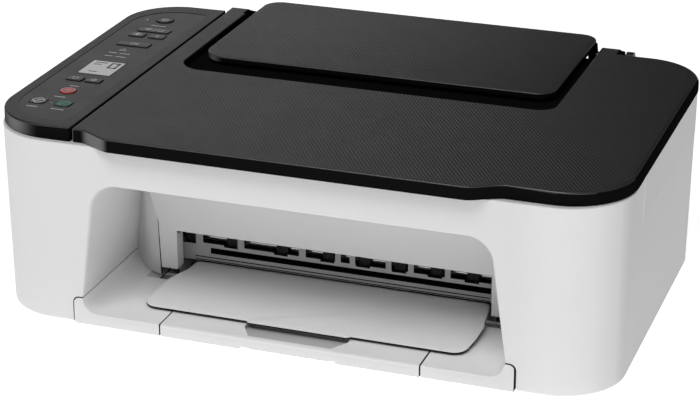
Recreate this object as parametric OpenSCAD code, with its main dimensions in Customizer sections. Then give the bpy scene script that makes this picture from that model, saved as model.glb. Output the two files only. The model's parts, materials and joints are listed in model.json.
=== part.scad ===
// Inkjet printer with a flatbed scanner, built from named pieces.
// Millimetres. X runs to the right, Y to the back, Z up. The printer stands on the floor plane,
// with the middle of its outline at X = 0, Y = 0 and its front facing -Y.

/* [Casing] */
// Overall width of the printer
overall_width = 435; // [420:1:450]
// Y of the flat white front wall
front_face_y = -150.5; // [-152:0.5:-148]
// Y of the casing's rear wall, ahead of the paper feed box
casing_rear_y = 121; // [118:0.5:124]
// Plan radius of the two front corners
front_corner_r = 45; // [38:0.5:48]
// Plan radius of the two rear corners
rear_corner_r = 40; // [34:0.5:44]
// Thickness of the casing walls
casing_wall = 2.5; // [2:0.1:3.5]
// Height at which the white casing ends and the black top begins
casing_top = 134.4; // [132:0.1:136]
// Height of the joint between the housing and the scanner's side strip
side_joint_z = 104; // [100:0.5:108]
// Y at which the side strip begins
side_joint_y = -82; // [-90:1:-70]
// Clearance under the casing walls
casing_lift = 4.6; // [4:0.1:5.5]

/* [Output bay] */
// Half width of the bay's opening at its foot
bay_half_foot = 147; // [144:0.5:149]
// Half width of the bay's opening where the upper corners begin
bay_half_top = 137.5; // [134:0.5:140]
// Height of the bay's ceiling
bay_top = 107.3; // [104:0.1:110]
// Corner radius of the bay's upper corners
bay_corner_r = 18; // [12:0.5:22]
// Y of the bay's rear corners
bay_rear_y = -60; // [-64:0.5:-56]
// Height of the joint between the bay's sides and the apron
apron_joint_z = 23.5; // [22:0.1:24]
// Wall thickness of the bay lining
bay_wall = 2.2; // [1.8:0.1:3]

/* [Apron and output tray] */
// Half width of the apron at the front
apron_half = 154; // [152:0.5:156]
// Height of the apron's flat floor
apron_floor = 13.2; // [12.6:0.1:13.6]
// Radius of the upper corners of the apron's front
apron_corner_r = 4; // [2:0.5:5]
// Half width of the pull-out tray section
tray_half = 90.7; // [88:0.1:92]
// How far the output tray pulls out
tray_travel = 90; // [60:1:95]
// Half width of the paper plate at its front
plate_half = 113; // [110:0.5:116]
// Distance of the paper plate's rear left corner from X = 0
plate_half_rear = 101.9; // [100:0.1:103]
// Height of the paper plate's top at its front edge
plate_front_z = 16.8; // [16.4:0.1:17.4]
// Height of the paper plate's top at its rear edge
plate_rear_z = 22; // [21.4:0.1:22.5]
// Thickness of the paper plate
plate_thickness = 2.8; // [2.4:0.1:3]
// Half width of the finger notch at its front
notch_half = 29; // [26:1:32]

/* [Output cover] */
// Y of the output cover's outer face
cover_face_y = -78.5; // [-79:0.1:-78]
// Thickness of the output cover
cover_thickness = 2.5; // [2:0.1:3]
// X of the output cover's middle line
cover_mid_x = 4.5; // [4:0.1:4.8]
// Half width of the output cover at its feet
cover_half_low = 125.3; // [125:0.1:125.4]
// Half width of the output cover at its top, before the bay's corners trim it
cover_half_high = 141; // [139:0.1:142]
// Height of the cover's feet
cover_foot_z = 20.4; // [20:0.1:21]
// Height of the output cover's top edge
cover_top = 106.5; // [105:0.1:106.8]
// Height of the lower edge between the legs
cover_edge_z = 49.5; // [48:0.1:51]
// Half width of the gap between the legs
cover_gap_half = 113.3; // [113:0.1:114]
// Y of the cover's pivots
cover_pivot_y = -70; // [-71:0.1:-69]
// Height of the cover's pivots
cover_pivot_z = 23.5; // [23:0.1:24.5]

/* [Scanner and lid] */
// Height of the lid and the control panel
lid_top = 144; // [143:0.1:144.5]
// Height of the lid's underside
lid_bottom = 134.8; // [134.7:0.1:135.5]
// Y of the lid's front lip, the printer's foremost line
lip_y = -158; // [-158:0.5:-156]
// Y of the lid's front edge beside the lip
lid_front_y = -147; // [-148:0.5:-146]
// Half width of the full lip
lip_half = 119; // [116:0.5:122]
// Width of the curve on either side of the lip
lip_blend = 26; // [20:1:30]
// X of the joint between the control panel and the lid
seam_x = -151.5; // [-153:0.1:-150]
// Half the gap at that joint
seam_gap_half = 0.9; // [0.5:0.1:1.2]
// Half width of the pocket in the lid
pocket_half = 137.8; // [137:0.1:139]
// Y of the pocket's front edge
pocket_front_y = -11.2; // [-13:0.1:-9]
// Height of the pocket's floor
pocket_floor = 138; // [137.5:0.1:139]
// Y of the lid's hinge axis
hinge_y = 147; // [146:0.5:148]
// Height of the lid's hinge axis
hinge_z = 132; // [131.5:0.1:132.5]
// Radius of the lid's hinge pins
hinge_pin_r = 3; // [2.5:0.1:3.2]

/* [Paper support] */
// Half width of the paper support
support_half = 130.5; // [129:0.1:131.5]
// Y of the paper support's front edge
support_front_y = 17; // [15:0.5:19]
// Y of the paper support's rear edge
support_rear_y = 154; // [152:0.5:154.5]
// Height of the paper support's upper face, the printer's highest
support_top = 145; // [144.5:0.1:145]
// Thickness of the paper support
support_thickness = 4.4; // [3.8:0.1:5]

/* [Feed box] */
// Half width of the box at the back
box_half = 160; // [156:0.5:162]
// Y of the box's rear wall, the printer's rearmost
box_rear_y = 158; // [156:0.5:158]
// Height of the box's rear wall
box_rear_top = 116; // [112:0.5:117]
// Height of the box's side parts
box_side_top = 126; // [124:0.1:126.2]

/* [Paper path] */
// Radius of the driven shafts
shaft_r = 3; // [2.5:0.1:3.5]
// Y of the eject shaft
eject_y = -52; // [-53:0.1:-51]
// Height of the eject shaft
eject_z = 37.3; // [37:0.1:38]
// Radius of the eject rollers
eject_roller_r = 7; // [6.5:0.1:7.1]
// Y of the feed shaft
feed_y = 46; // [45:0.5:47]
// Height of the feed shaft
feed_z = 38; // [37.5:0.1:38.2]
// Radius of the feed roller
feed_roller_r = 6; // [5.5:0.1:6]
// Radius of the pinch rollers
pinch_roller_r = 4.5; // [4:0.1:4.5]
// Radius of the pickup roller
pickup_roller_r = 14; // [12:0.5:14]
// Y of the pickup shaft
pickup_y = 107.2; // [106:0.1:108]
// Height of the pickup shaft
pickup_z = 70.5; // [70:0.1:72]

/* [Carriage] */
// X of the parked carriage's centre
park_x = 150; // [145:1:152]
// Width of the carriage
carriage_width = 84; // [80:1:84]
// Radius of the carriage rail
rail_r = 5; // [4:0.1:5]
// Y of the carriage rail
rail_y = 24; // [23:0.5:25]
// Height of the carriage rail
rail_z = 92; // [90:0.5:93]
// Running clearance round shafts and pins
running_fit = 0.05; // [0.03:0.01:0.08]

/* [Control panel] */
// X of the panel's middle line
panel_mid_x = -184.5; // [-187:0.5:-182]
// Gap round each button
button_gap = 0.4; // [0.3:0.05:0.6]
// How far the buttons stand above the panel
button_proud = 0.4; // [0.2:0.1:0.8]

/* [Hidden] */
half_width = overall_width / 2;
casing_half = half_width - 0.5;
arc_steps = 10;
smooth = 64;
axis_turn = [0, 90, 0];
lid_left = seam_x + seam_gap_half;
panel_right = seam_x - seam_gap_half;
rail_half = 196;
pulley_x = 180;
pulley_y = 45;
pulley_r = 6;
belt_r = 6.3;
roller_x = [-107, -75.7, -38.4, -4.2, 21.6, 47.4, 73, 99];
comb_cells = [
  [-96.5, -70.5], [-65.5, -25], [-20, 1.5], [5.5, 12], [16, 38], [42, 54], [58, 80], [84, 112.6]];
chute_top = [152, 112];
chute_foot = [112, 48];
pan_top = casing_lift + 2.5;
slide_z = apron_floor - 3.4;
wide_button = [25, 8.5];
small_button = [12, 8.5];
low_button = [12, 8];

// Points along an arc, in degrees from a0 to a1
function arc_points(cx, cy, r, a0, a1) =
  [for (i = [0:arc_steps]) [cx + r * cos(a0 + (a1 - a0) * i / arc_steps),
                            cy + r * sin(a0 + (a1 - a0) * i / arc_steps)]];

// A rectangle whose four corners each have their own radius: front left, front right, rear right, rear left
function rounded_outline(x0, x1, y0, y1, radii) = concat(
  arc_points(x0 + radii[0], y0 + radii[0], radii[0], 180, 270),
  arc_points(x1 - radii[1], y0 + radii[1], radii[1], 270, 360),
  arc_points(x1 - radii[2], y1 - radii[2], radii[2], 0, 90),
  arc_points(x0 + radii[3], y1 - radii[3], radii[3], 90, 180));

// The casing's outline seen from above, moved inward by inset
function casing_outline(inset) = rounded_outline(
  -casing_half + inset, casing_half - inset, front_face_y + inset, casing_rear_y - inset,
  [front_corner_r - inset, front_corner_r - inset, rear_corner_r - inset, rear_corner_r - inset]);

// How far back the lid's front edge stands at a given X
function lip_curve(x, inset) =
  let (t = min(1, max(0, (abs(x) - lip_half) / lip_blend)))
  lip_y + inset + (lid_front_y - lip_y) * t * t * (3 - 2 * t);

// The lid's outline seen from above, moved inward by inset
function lid_outline(inset) = concat(
  [for (i = [0:8]) let (x = -lip_half - lip_blend * (1 - i / 8)) [x, lip_curve(x, inset)]],
  [for (i = [0:8]) let (x = lip_half + lip_blend * i / 8) [x, lip_curve(x, inset)]],
  arc_points(half_width - front_corner_r, lid_front_y + front_corner_r, front_corner_r - inset, 270, 360),
  arc_points(half_width - rear_corner_r, casing_rear_y - rear_corner_r, rear_corner_r - inset, 0, 90),
  [[lid_left + inset, casing_rear_y - inset], [lid_left + inset, lid_front_y + inset]]);

// The bay's opening seen from the front, grown outward by grow, with its foot at foot_z
function bay_outline(grow, foot_z) = concat(
  [[-bay_half_foot - grow, foot_z], [bay_half_foot + grow, foot_z]],
  arc_points(bay_half_top - bay_corner_r, bay_top - bay_corner_r, bay_corner_r + grow, 0, 90),
  arc_points(-bay_half_top + bay_corner_r, bay_top - bay_corner_r, bay_corner_r + grow, 90, 180));

// The hollow curve from the bay's foot down to the apron's floor, raised by lift
function apron_curve(lift) =
  let (rise = apron_joint_z - apron_floor)
  [for (i = [0:arc_steps]) [bay_half_foot - 11 * (1 - cos(90 * i / arc_steps)),
                            apron_floor + lift + rise * (1 - sin(90 * i / arc_steps))]];

// The output cover seen from the front, grown outward by grow
function cover_outline(grow) = [for (p = [
  [-cover_half_low - grow, cover_foot_z - grow], [cover_half_low + grow, cover_foot_z - grow],
  [cover_half_low + 1.5 + grow, 55], [cover_half_high + grow, cover_top + grow],
  [-cover_half_high - grow, cover_top + grow], [-cover_half_low - 1.5 - grow, 55]])
  p + [cover_mid_x, 0]];

// Extrudes a flat shape drawn in X and Z along Y, from y0 to y1
module along_y(y0, y1) {
  translate([0, y1, 0]) rotate([90, 0, 0]) linear_extrude(y1 - y0) children();
}

// Extrudes a flat shape drawn in Y and Z along X, from x0 to x1
module along_x(x0, x1) {
  translate([x0, 0, 0]) rotate([90, 0, 90]) linear_extrude(x1 - x0) children();
}

// Extrudes a flat shape drawn in X and Y along Z, from z0 to z1
module along_z(z0, z1) {
  translate([0, 0, z0]) linear_extrude(z1 - z0) children();
}

// A block given by its two opposite corners
module block(low, high) {
  translate(low) cube(high - low);
}

// A rod along X at a given Y and Z
module rod_x(x0, x1, y, z, r) {
  translate([x0, y, z]) rotate(axis_turn) cylinder(h = x1 - x0, r = r, $fn = smooth);
}

// The children, and the same again mirrored to the other side
module both_sides() {
  children();
  mirror([1, 0, 0]) children();
}

// A rounded rectangle centred on a point
module soft_rect(centre, size, r) {
  polygon(rounded_outline(centre[0] - size[0] / 2, centre[0] + size[0] / 2,
                          centre[1] - size[1] / 2, centre[1] + size[1] / 2, [r, r, r, r]));
}

module base_pan() {
  color([0.86, 0.86, 0.87]) {
    difference() {
      along_z(casing_lift, pan_top) polygon(casing_outline(casing_wall));
      block([-apron_half - 0.5, front_face_y - 2, 0], [apron_half + 0.5, -59.5, pan_top + 1]);
    }
    block([-box_half + casing_wall, casing_rear_y - casing_wall, casing_lift],
          [box_half - casing_wall, box_rear_y - casing_wall, pan_top]);
    block([-apron_half + 3, -90, casing_lift], [apron_half - 3, -59.5, casing_lift + 0.8]);
    for (y = [-30, 10]) {
      block([-110, y, pan_top], [110, y + 2, pan_top + 2]);
    }
  }
}

module rubber_feet() {
  color([0.12, 0.12, 0.12]) {
    for (x = [-185, 185], y = [-112, 82]) {
      translate([x, y, 0]) cylinder(h = casing_lift, r = 8, $fn = smooth);
    }
    for (x = [-130, 130]) {
      translate([x, 146, 0]) cylinder(h = casing_lift, r = 6, $fn = smooth);
    }
  }
}

module front_housing() {
  color([0.93, 0.93, 0.94]) difference() {
    along_z(casing_lift, casing_top) difference() {
      polygon(casing_outline(0));
      polygon(casing_outline(casing_wall));
    }
    block([-half_width - 1, side_joint_y, side_joint_z],
          [half_width + 1, casing_rear_y + 1, casing_top + 1]);
    block([-box_half, casing_rear_y - casing_wall - 1, 0], [box_half, casing_rear_y + 1, casing_top]);
    along_y(front_face_y - 1, front_face_y + casing_wall + 1) polygon(bay_outline(0, apron_joint_z - 1));
    along_y(front_face_y - 1, front_face_y + casing_wall + 1) polygon(rounded_outline(
      -apron_half - 0.3, apron_half + 0.3, 0, apron_joint_z + 0.3,
      [1, 1, apron_corner_r + 0.3, apron_corner_r + 0.3]));
  }
}

module bay_liner() {
  color([0.9, 0.9, 0.91]) {
    along_y(front_face_y + casing_wall, bay_rear_y) difference() {
      polygon(bay_outline(bay_wall, apron_joint_z + 0.3));
      polygon(bay_outline(0, apron_joint_z));
    }
    difference() {
      union() {
        difference() {
          both_sides() intersection() {
            along_z(apron_floor + 0.3, bay_top + 1) polygon([
              [148.2, -60], [148.2, -60.9], [146.2, -60.9], [141.6, -64.5], [136.5, -69], [130.9, -72.8],
              [125, -75.4], [119, -76.8], [119, -74.2], [125.5, -72.9], [132, -70.2], [138, -66.3],
              [142.6, -62], [144.4, -60]]);
            along_y(-90, -50) polygon(concat(
              [[118, apron_floor + 0.3]],
              [for (i = [0:arc_steps]) apron_curve(0.3)[arc_steps - i]],
              [[bay_half_foot + 1, apron_joint_z + 0.3]],
              arc_points(bay_half_top - bay_corner_r, bay_top - bay_corner_r, bay_corner_r + 1, 0, 90),
              [[118, bay_top + 1]]));
          }
          along_y(-90, -50) polygon(cover_outline(0.6));
          block([cover_mid_x - cover_half_low - 0.6, -90, 10],
                [cover_mid_x + cover_half_low + 0.6, -50, cover_foot_z + 1]);
        }
        for (x = [-126.3, 130.9]) {
          block([x, -73.4, 19], [x + 4.4, -64, 30]);
        }
        block([-137.3, -70, apron_joint_z + 0.3], [-126.2, -67.5, 30]);
        block([135.2, -70, apron_joint_z + 0.3], [137.3, -67.5, 30]);
      }
      for (x = [-126.3, 130.9]) {
        rod_x(x - 0.6, x + 5, cover_pivot_y, cover_pivot_z, 2 + running_fit);
      }
    }
    both_sides() block([126, bay_rear_y - 0.01, 60], [bay_half_top + 1, bay_rear_y + 2, bay_top - 1]);
  }
}

module scanner_frame() {
  color([0.93, 0.93, 0.94]) {
    difference() {
      along_z(side_joint_z + 0.3, casing_top) difference() {
        polygon(casing_outline(0));
        polygon(casing_outline(casing_wall));
      }
      block([-half_width - 1, front_face_y - 1, side_joint_z],
            [half_width + 1, side_joint_y + 0.3, casing_top + 1]);
    }
    difference() {
      along_z(casing_top - 2.5, casing_top) polygon(casing_outline(casing_wall));
      block([-140, -140, casing_top - 4], [162, 78, casing_top + 1]);
      block([-205, -120, casing_top - 4], [-160, 80, casing_top + 1]);
    }
  }
}

module scanner_tub() {
  color([0.25, 0.25, 0.27]) {
    block([-148, -144, 110], [170, 86, 112]);
    block([-148, -144, 112], [-146, 86, casing_top - 2.5]);
    block([168, -144, 112], [170, 86, casing_top - 2.5]);
    block([-146, -144, 112], [168, -142, casing_top - 2.5]);
    block([-146, 84, 112], [168, 86, casing_top - 2.5]);
  }
}

module rear_cover() {
  color([0.93, 0.93, 0.94]) {
    difference() {
      block([-box_half, box_rear_y - casing_wall, casing_lift], [box_half, box_rear_y, box_rear_top]);
      block([75, box_rear_y - 5, 12], [101, box_rear_y + 1, 32]);
      block([-151, box_rear_y - 5, 9], [-137, box_rear_y + 1, 22]);
      for (i = [0:6]) {
        block([-60 + i * 14, box_rear_y - 5, 18], [-55 + i * 14, box_rear_y + 1, 40]);
      }
    }
    both_sides() {
      block([box_half - casing_wall, casing_rear_y, casing_lift],
            [box_half, box_rear_y - casing_wall, box_side_top - 2.5]);
      block([133.5, casing_rear_y, 60], [136, box_rear_y - casing_wall, box_side_top - 2.5]);
      block([133.5, casing_rear_y, box_side_top - 2.5], [box_half, box_rear_y, box_side_top]);
      block([133.5, box_rear_y - casing_wall, box_rear_top], [box_half, box_rear_y, box_side_top - 2.5]);
      difference() {
        union() {
          rod_x(152.6, 158, hinge_y, hinge_z, 5.2);
          block([152.6, hinge_y - 5.2, box_side_top], [158, hinge_y + 5.2, hinge_z]);
        }
        rod_x(150, 157.4, hinge_y, hinge_z, hinge_pin_r + running_fit);
      }
      difference() {
        block([121.5, casing_rear_y, 107], [133.5, casing_rear_y + 5.5, 114]);
        rod_x(120, 127, 124, 110.5, 1.2 + running_fit);
      }
    }
  }
}

module output_apron() {
  color([0.93, 0.93, 0.94]) difference() {
    both_sides() difference() {
      along_y(front_face_y, bay_rear_y) polygon(concat(
        [[tray_half + 0.4, casing_lift], [apron_half, casing_lift]],
        arc_points(apron_half - apron_corner_r, apron_joint_z - apron_corner_r, apron_corner_r, 0, 90),
        apron_curve(0),
        [[tray_half + 0.4, apron_floor]]));
      block([tray_half, front_face_y + 3, 0], [apron_half - 3, bay_rear_y + 1, apron_floor - 2.6]);
    }
    block([-121.8, -82.5, 0], [-103, bay_rear_y + 1, apron_floor + 1]);
    block([111, -80, 0], [130.8, bay_rear_y + 1, apron_floor + 1]);
    along_y(-82.5, bay_rear_y + 1) polygon([
      [-131.5, apron_floor], [-131.5, apron_floor + 1],
      [-121, apron_floor + 1], [-121, apron_floor - 1.4]]);
  }
}

// Everything cut through the panel's top: the places of the buttons, grown by grow
module button_places(grow) {
  translate([-186, 84.3]) circle(r = 6.5 + grow, $fn = 48);
  soft_rect([panel_mid_x + 1, 59], wide_button + [2 * grow, 2 * grow], 1.5);
  soft_rect([-191.4, 46.5], small_button + [2 * grow, 2 * grow], 1.5);
  soft_rect([-175.6, 46.5], small_button + [2 * grow, 2 * grow], 1.5);
  soft_rect([panel_mid_x, 25], wide_button + [2 * grow, 2 * grow], 1.5);
  soft_rect([-191.6, -56.5], low_button + [2 * grow, 2 * grow], 1.5);
  soft_rect([-177.6, -56.5], low_button + [2 * grow, 2 * grow], 1.5);
  translate([-185.3, -81]) circle(r = 5.6 + grow, $fn = 48);
  soft_rect([-195.4, -105.2], [11 + 2 * grow, 11 + 2 * grow], 2.5);
  soft_rect([-176.5, -105.2], [11 + 2 * grow, 11 + 2 * grow], 2.5);
}

module panel_outline(inset) {
  intersection() {
    polygon(rounded_outline(-half_width + inset, 0, lid_front_y + inset, casing_rear_y + 1 - inset,
                            [front_corner_r - inset, 1, 1, rear_corner_r - inset]));
    translate([-half_width - 1, -200]) square([panel_right - inset + half_width + 1, 400]);
  }
}

module control_panel() {
  color([0.1, 0.1, 0.11]) difference() {
    along_z(lid_bottom - 0.4, lid_top) panel_outline(0);
    along_z(lid_bottom - 1, lid_top - 2.2) panel_outline(2.5);
    along_z(lid_top - 3, lid_top + 1) button_places(button_gap);
    along_z(lid_top - 3, lid_top + 1) soft_rect([-184.2, -29.5], [26.2, 31.2], 1);
    translate([-199.5, 82, lid_top - 3]) cylinder(h = 4, r = 1.1, $fn = 24);
  }
}

module lcd_window() {
  color([0.62, 0.65, 0.64]) {
    along_z(lid_top - 2.4, lid_top - 0.2) soft_rect([-184.2, -29.5], [26, 31], 1);
    block([-199, -46.5, lid_top - 5.4], [-169.4, -12.5, lid_top - 2.4]);
  }
}

module status_lamp() {
  color([0.55, 0.8, 0.35]) {
    translate([-199.5, 82, lid_top - 2.2]) cylinder(h = 2.3, r = 1, $fn = 24);
    translate([-199.5, 82, lid_top - 4.2]) cylinder(h = 2, r = 2.5, $fn = 24);
  }
}

// A push button: a cap through the panel with a flange below it
module push_button(centre, size, r) {
  along_z(lid_top - 3.2, lid_top + button_proud) soft_rect(centre, size, r);
  along_z(lid_top - 4.2, lid_top - 3.2) soft_rect(centre, size + [1.6, 1.6], r);
}

// A round push button
module round_button(centre, r) {
  translate([centre[0], centre[1], lid_top - 3.2]) cylinder(h = 3.2 + button_proud, r = r, $fn = 48);
  translate([centre[0], centre[1], lid_top - 4.2]) cylinder(h = 1, r = r + 0.8, $fn = 48);
}

module button_power() {
  color([0.12, 0.12, 0.13]) round_button([-186, 84.3], 6.5);
}

module button_wireless() {
  color([0.12, 0.12, 0.13]) push_button([panel_mid_x + 1, 59], wide_button, 1.5);
}

module button_info() {
  color([0.12, 0.12, 0.13]) push_button([-191.4, 46.5], small_button, 1.5);
}

module button_eco() {
  color([0.12, 0.12, 0.13]) push_button([-175.6, 46.5], small_button, 1.5);
}

module button_copy() {
  color([0.12, 0.12, 0.13]) push_button([panel_mid_x, 25], wide_button, 1.5);
}

module button_paper() {
  color([0.12, 0.12, 0.13]) push_button([-191.6, -56.5], low_button, 1.5);
}

module button_ok() {
  color([0.12, 0.12, 0.13]) push_button([-177.6, -56.5], low_button, 1.5);
}

module button_stop() {
  color([0.7, 0.12, 0.12]) round_button([-185.3, -81], 5.6);
}

module button_black() {
  color([0.12, 0.12, 0.13]) push_button([-195.4, -105.2], [11, 11], 2.5);
}

module button_colour() {
  color([0.12, 0.12, 0.13]) push_button([-176.5, -105.2], [11, 11], 2.5);
}

// The side profile of the lid's pocket: a sloped front and a flat floor, open to the back
pocket_profile = [
  [pocket_front_y, lid_top + 1], [pocket_front_y, lid_top], [pocket_front_y + 12, pocket_floor],
  [casing_rear_y + 40, pocket_floor], [casing_rear_y + 40, lid_top + 1]];

module document_cover() {
  color([0.1, 0.1, 0.11]) {
    difference() {
      along_z(lid_bottom, lid_top) polygon(lid_outline(0));
      intersection() {
        along_x(-pocket_half, pocket_half) polygon(pocket_profile);
        along_z(lid_bottom, lid_top + 1) polygon(
          rounded_outline(-pocket_half, pocket_half, pocket_front_y, casing_rear_y + 60, [13, 13, 1, 1]));
      }
      difference() {
        along_z(lid_bottom - 1, lid_top - 3) polygon(lid_outline(3));
        block([-pocket_half - 2.5, pocket_front_y - 4, lid_bottom - 2],
              [pocket_half + 2.5, casing_rear_y + 1, lid_top]);
        block([pocket_half, casing_rear_y - 14, lid_bottom - 2], [154.5, casing_rear_y + 1, lid_top]);
      }
    }
    for (x = [lid_left, pocket_half]) {
      difference() {
        union() {
          along_x(x, x + 12.8) polygon(concat(
            [[casing_rear_y, lid_bottom], [casing_rear_y, lid_top]],
            arc_points(130, lid_top - 6, 6, 90, 50),
            [[hinge_y - 1, hinge_z + 5.2], [hinge_y, hinge_z], [hinge_y - 6, hinge_z - 0.6]]));
          rod_x(x, x + 12.8, hinge_y, hinge_z, 5.2);
        }
        rod_x(x - 1, x + 14, hinge_y, hinge_z, hinge_pin_r);
      }
    }
  }
}

module lid_cushion() {
  color([0.95, 0.95, 0.95]) along_z(casing_top - 2.1, lid_bottom) polygon(
    rounded_outline(-139, 161, -139, 77, [3, 3, 3, 3]));
}

module lid_pins() {
  color([0.7, 0.7, 0.72]) both_sides() rod_x(124.5, 157, hinge_y, hinge_z, hinge_pin_r);
}

module paper_support() {
  color([0.1, 0.1, 0.11]) {
    along_z(support_top - support_thickness, support_top) polygon(rounded_outline(
      -support_half, support_half, support_front_y, support_rear_y, [13, 13, 13, 13]));
    along_z(135, support_top - support_thickness) polygon(rounded_outline(
      -114, 114, support_rear_y - 2.5, support_rear_y, [0.5, 0.5, 0.5, 0.5]));
    both_sides() difference() {
      union() {
        rod_x(125, 130.2, hinge_y, hinge_z, 5.2);
        block([125, hinge_y - 8, hinge_z + 3.6], [130.2, hinge_y + 2, support_top - support_thickness]);
      }
      rod_x(124, 131, hinge_y, hinge_z, hinge_pin_r + running_fit);
    }
  }
}

module platen_glass() {
  color([0.75, 0.85, 0.85, 0.4]) block([-145.5, -141.5, casing_top - 5], [167.5, 83.5, casing_top - 2.5]);
}

module scan_bar() {
  color([0.2, 0.2, 0.22]) difference() {
    union() {
      block([-143, -138, 118], [-129, 80, 128.6]);
      block([-143, -40, 113.4], [-129, -20, 118]);
    }
    rod_x(-144, -128, -30, 115, 2 + running_fit);
    block([-139, -134, 127.6], [-133, 76, 129]);
  }
}

module scan_rail() {
  color([0.75, 0.75, 0.77]) {
    rod_x(-146, 168, -30, 115, 2);
  }
}

module feed_slot_cover() {
  color([0.15, 0.15, 0.16]) {
    rod_x(-114, 114, 124, 110.5, 2);
    block([-114, 124, 109.4], [114, 143, 111.4]);
    both_sides() rod_x(114, 126.5, 124, 110.5, 1.2);
  }
}

// The chute's direction as a unit vector, and the vector square to it that points at the paper
chute_run = chute_foot - chute_top;
chute_dir = chute_run / norm(chute_run);
chute_out = [chute_dir[1], -chute_dir[0]];

// A point along the chute, in Y and Z, a distance from its top and a height off its face
function chute_point(along, off) = chute_top + chute_dir * along + chute_out * off;

// A paper guide: a fin that stands on the chute, and a foot that lies on it
module paper_guide(x_fin, x_foot) {
  along_x(x_fin, x_fin + 2) polygon([
    chute_point(12, 0.5), chute_point(48, 0.5), chute_point(48, 10), chute_point(18, 11),
    chute_point(12, 8)]);
  along_x(x_foot, x_foot + 24) polygon([
    chute_point(14, 0.5), chute_point(46, 0.5), chute_point(46, 2), chute_point(14, 2)]);
}

module paper_guide_left() {
  color([0.2, 0.2, 0.21]) paper_guide(-107, -105);
}

module paper_guide_right() {
  color([0.2, 0.2, 0.21]) paper_guide(105, 81);
}

module feed_chute() {
  color([0.3, 0.3, 0.32]) {
    along_x(-115, 115) polygon(concat(
      [chute_point(0, 0), chute_foot, [104, 44], [92, 42], [56, 41.5]],
      [[56, 39.5], [92, 39.5], [104, 41], [114.5, 46.2], chute_point(0, -2.4)]));
    both_sides() difference() {
      along_x(115, 118) polygon([
        [56, pan_top], [114, pan_top], [150, 90], [153, 114], [138, 108], [98, 86], [92, 56], [56, 50]]);
      rod_x(114, 119, pickup_y, pickup_z, shaft_r + running_fit);
    }
  }
}

module output_cover() {
  color([0.91, 0.91, 0.92]) {
    difference() {
      along_y(cover_face_y, cover_face_y + cover_thickness) intersection() {
        polygon(cover_outline(0));
        polygon(bay_outline(-0.8, 10));
      }
      block([cover_mid_x - cover_gap_half, cover_face_y - 1, 10],
            [cover_mid_x + cover_gap_half, cover_face_y + 5, cover_edge_z]);
    }
    translate([cover_mid_x, 0, 0]) both_sides() {
      block([cover_gap_half, cover_face_y + cover_thickness, cover_foot_z],
            [cover_gap_half + 2.5, -68, 46]);
      block([cover_gap_half + 2.5, cover_face_y + cover_thickness, cover_foot_z],
            [cover_half_low, -71, 22.5]);
      rod_x(cover_gap_half + 2.5, cover_half_low, cover_pivot_y, cover_pivot_z, 4.5);
      rod_x(cover_half_low, cover_half_low + 5.2, cover_pivot_y, cover_pivot_z, 2);
    }
    block([-100, cover_face_y + cover_thickness, 98], [100, cover_face_y + cover_thickness + 3, 100]);
  }
}

// The recess for the finger behind the tray's rim, which runs back under the paper plate
module notch_cut() {
  along_z(apron_floor - 2.8, apron_floor + 1) polygon([
    [-notch_half, -146.5], [notch_half, -146.5], [notch_half + 7.5, -134], [notch_half + 7.5, -126],
    [-notch_half - 7.5, -126], [-notch_half - 7.5, -134]]);
}

// The ribs between the slide and the paper plate, which rests on them
module output_tray_ribs() {
  for (x = [-80, -40, 0, 40, 80]) {
    along_x(x - 1, x + 1) polygon([
      [-123, slide_z + 1.8], [-64, slide_z + 1.8], [-64, plate_rear_z - 2.6], [-123, plate_front_z - 1.4]]);
  }
}

module output_tray() {
  color([0.93, 0.93, 0.94]) {
    difference() {
      along_x(-tray_half, tray_half) polygon([
        [front_face_y, casing_lift], [front_face_y, apron_floor - 2],
        [front_face_y + 0.6, apron_floor - 0.6], [front_face_y + 2, apron_floor],
        [-124, apron_floor], [-124, slide_z], [-127, slide_z], [-127, casing_lift + 2.2],
        [-144, casing_lift + 2.2], [-144, casing_lift]]);
      notch_cut();
      block([-33, front_face_y - 1, 0], [33, -143, casing_lift + 2.3]);
    }
    block([-tray_half, -124, slide_z], [tray_half, -16, slide_z + 1.8]);
    output_tray_ribs();
  }
}

module tray_plate() {
  color([0.92, 0.92, 0.93]) difference() {
    intersection() {
      along_x(-plate_half, plate_half) polygon([
        [-132, plate_front_z - plate_thickness], [-132, plate_front_z], [-61, plate_rear_z],
        [-61, plate_rear_z - plate_thickness]]);
      along_z(5, 30) polygon(concat(
        arc_points(-plate_half + 10, -120, 10, 180, 270),
        [[-37, -130], [-35, -132], [35, -132], [37, -130]],
        arc_points(plate_half - 8, -120, 10, 270, 360),
        [[117, -98], [117, -92], [115.6, -86], [115, -79], [113.2, -66], [109, -62.4],
         [-plate_half_rear + 5, -62.4], [-plate_half_rear, -66], [-plate_half_rear - 0.4, -72],
         [-plate_half_rear - 3.6, -80], [-plate_half_rear - 6.4, -86], [-plate_half + 2, -95],
         [-plate_half + 0.6, -108]]));
    }
    output_tray_ribs();
  }
}

module output_extension() {
  color([0.9, 0.9, 0.91]) {
    along_z(casing_lift + 0.1, casing_lift + 1.7) polygon(
      rounded_outline(-30, 30, -149, -95, [4, 4, 1, 1]));
    block([-12, -147.5, casing_lift + 1.7], [12, -146.3, casing_lift + 2]);
  }
}

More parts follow.
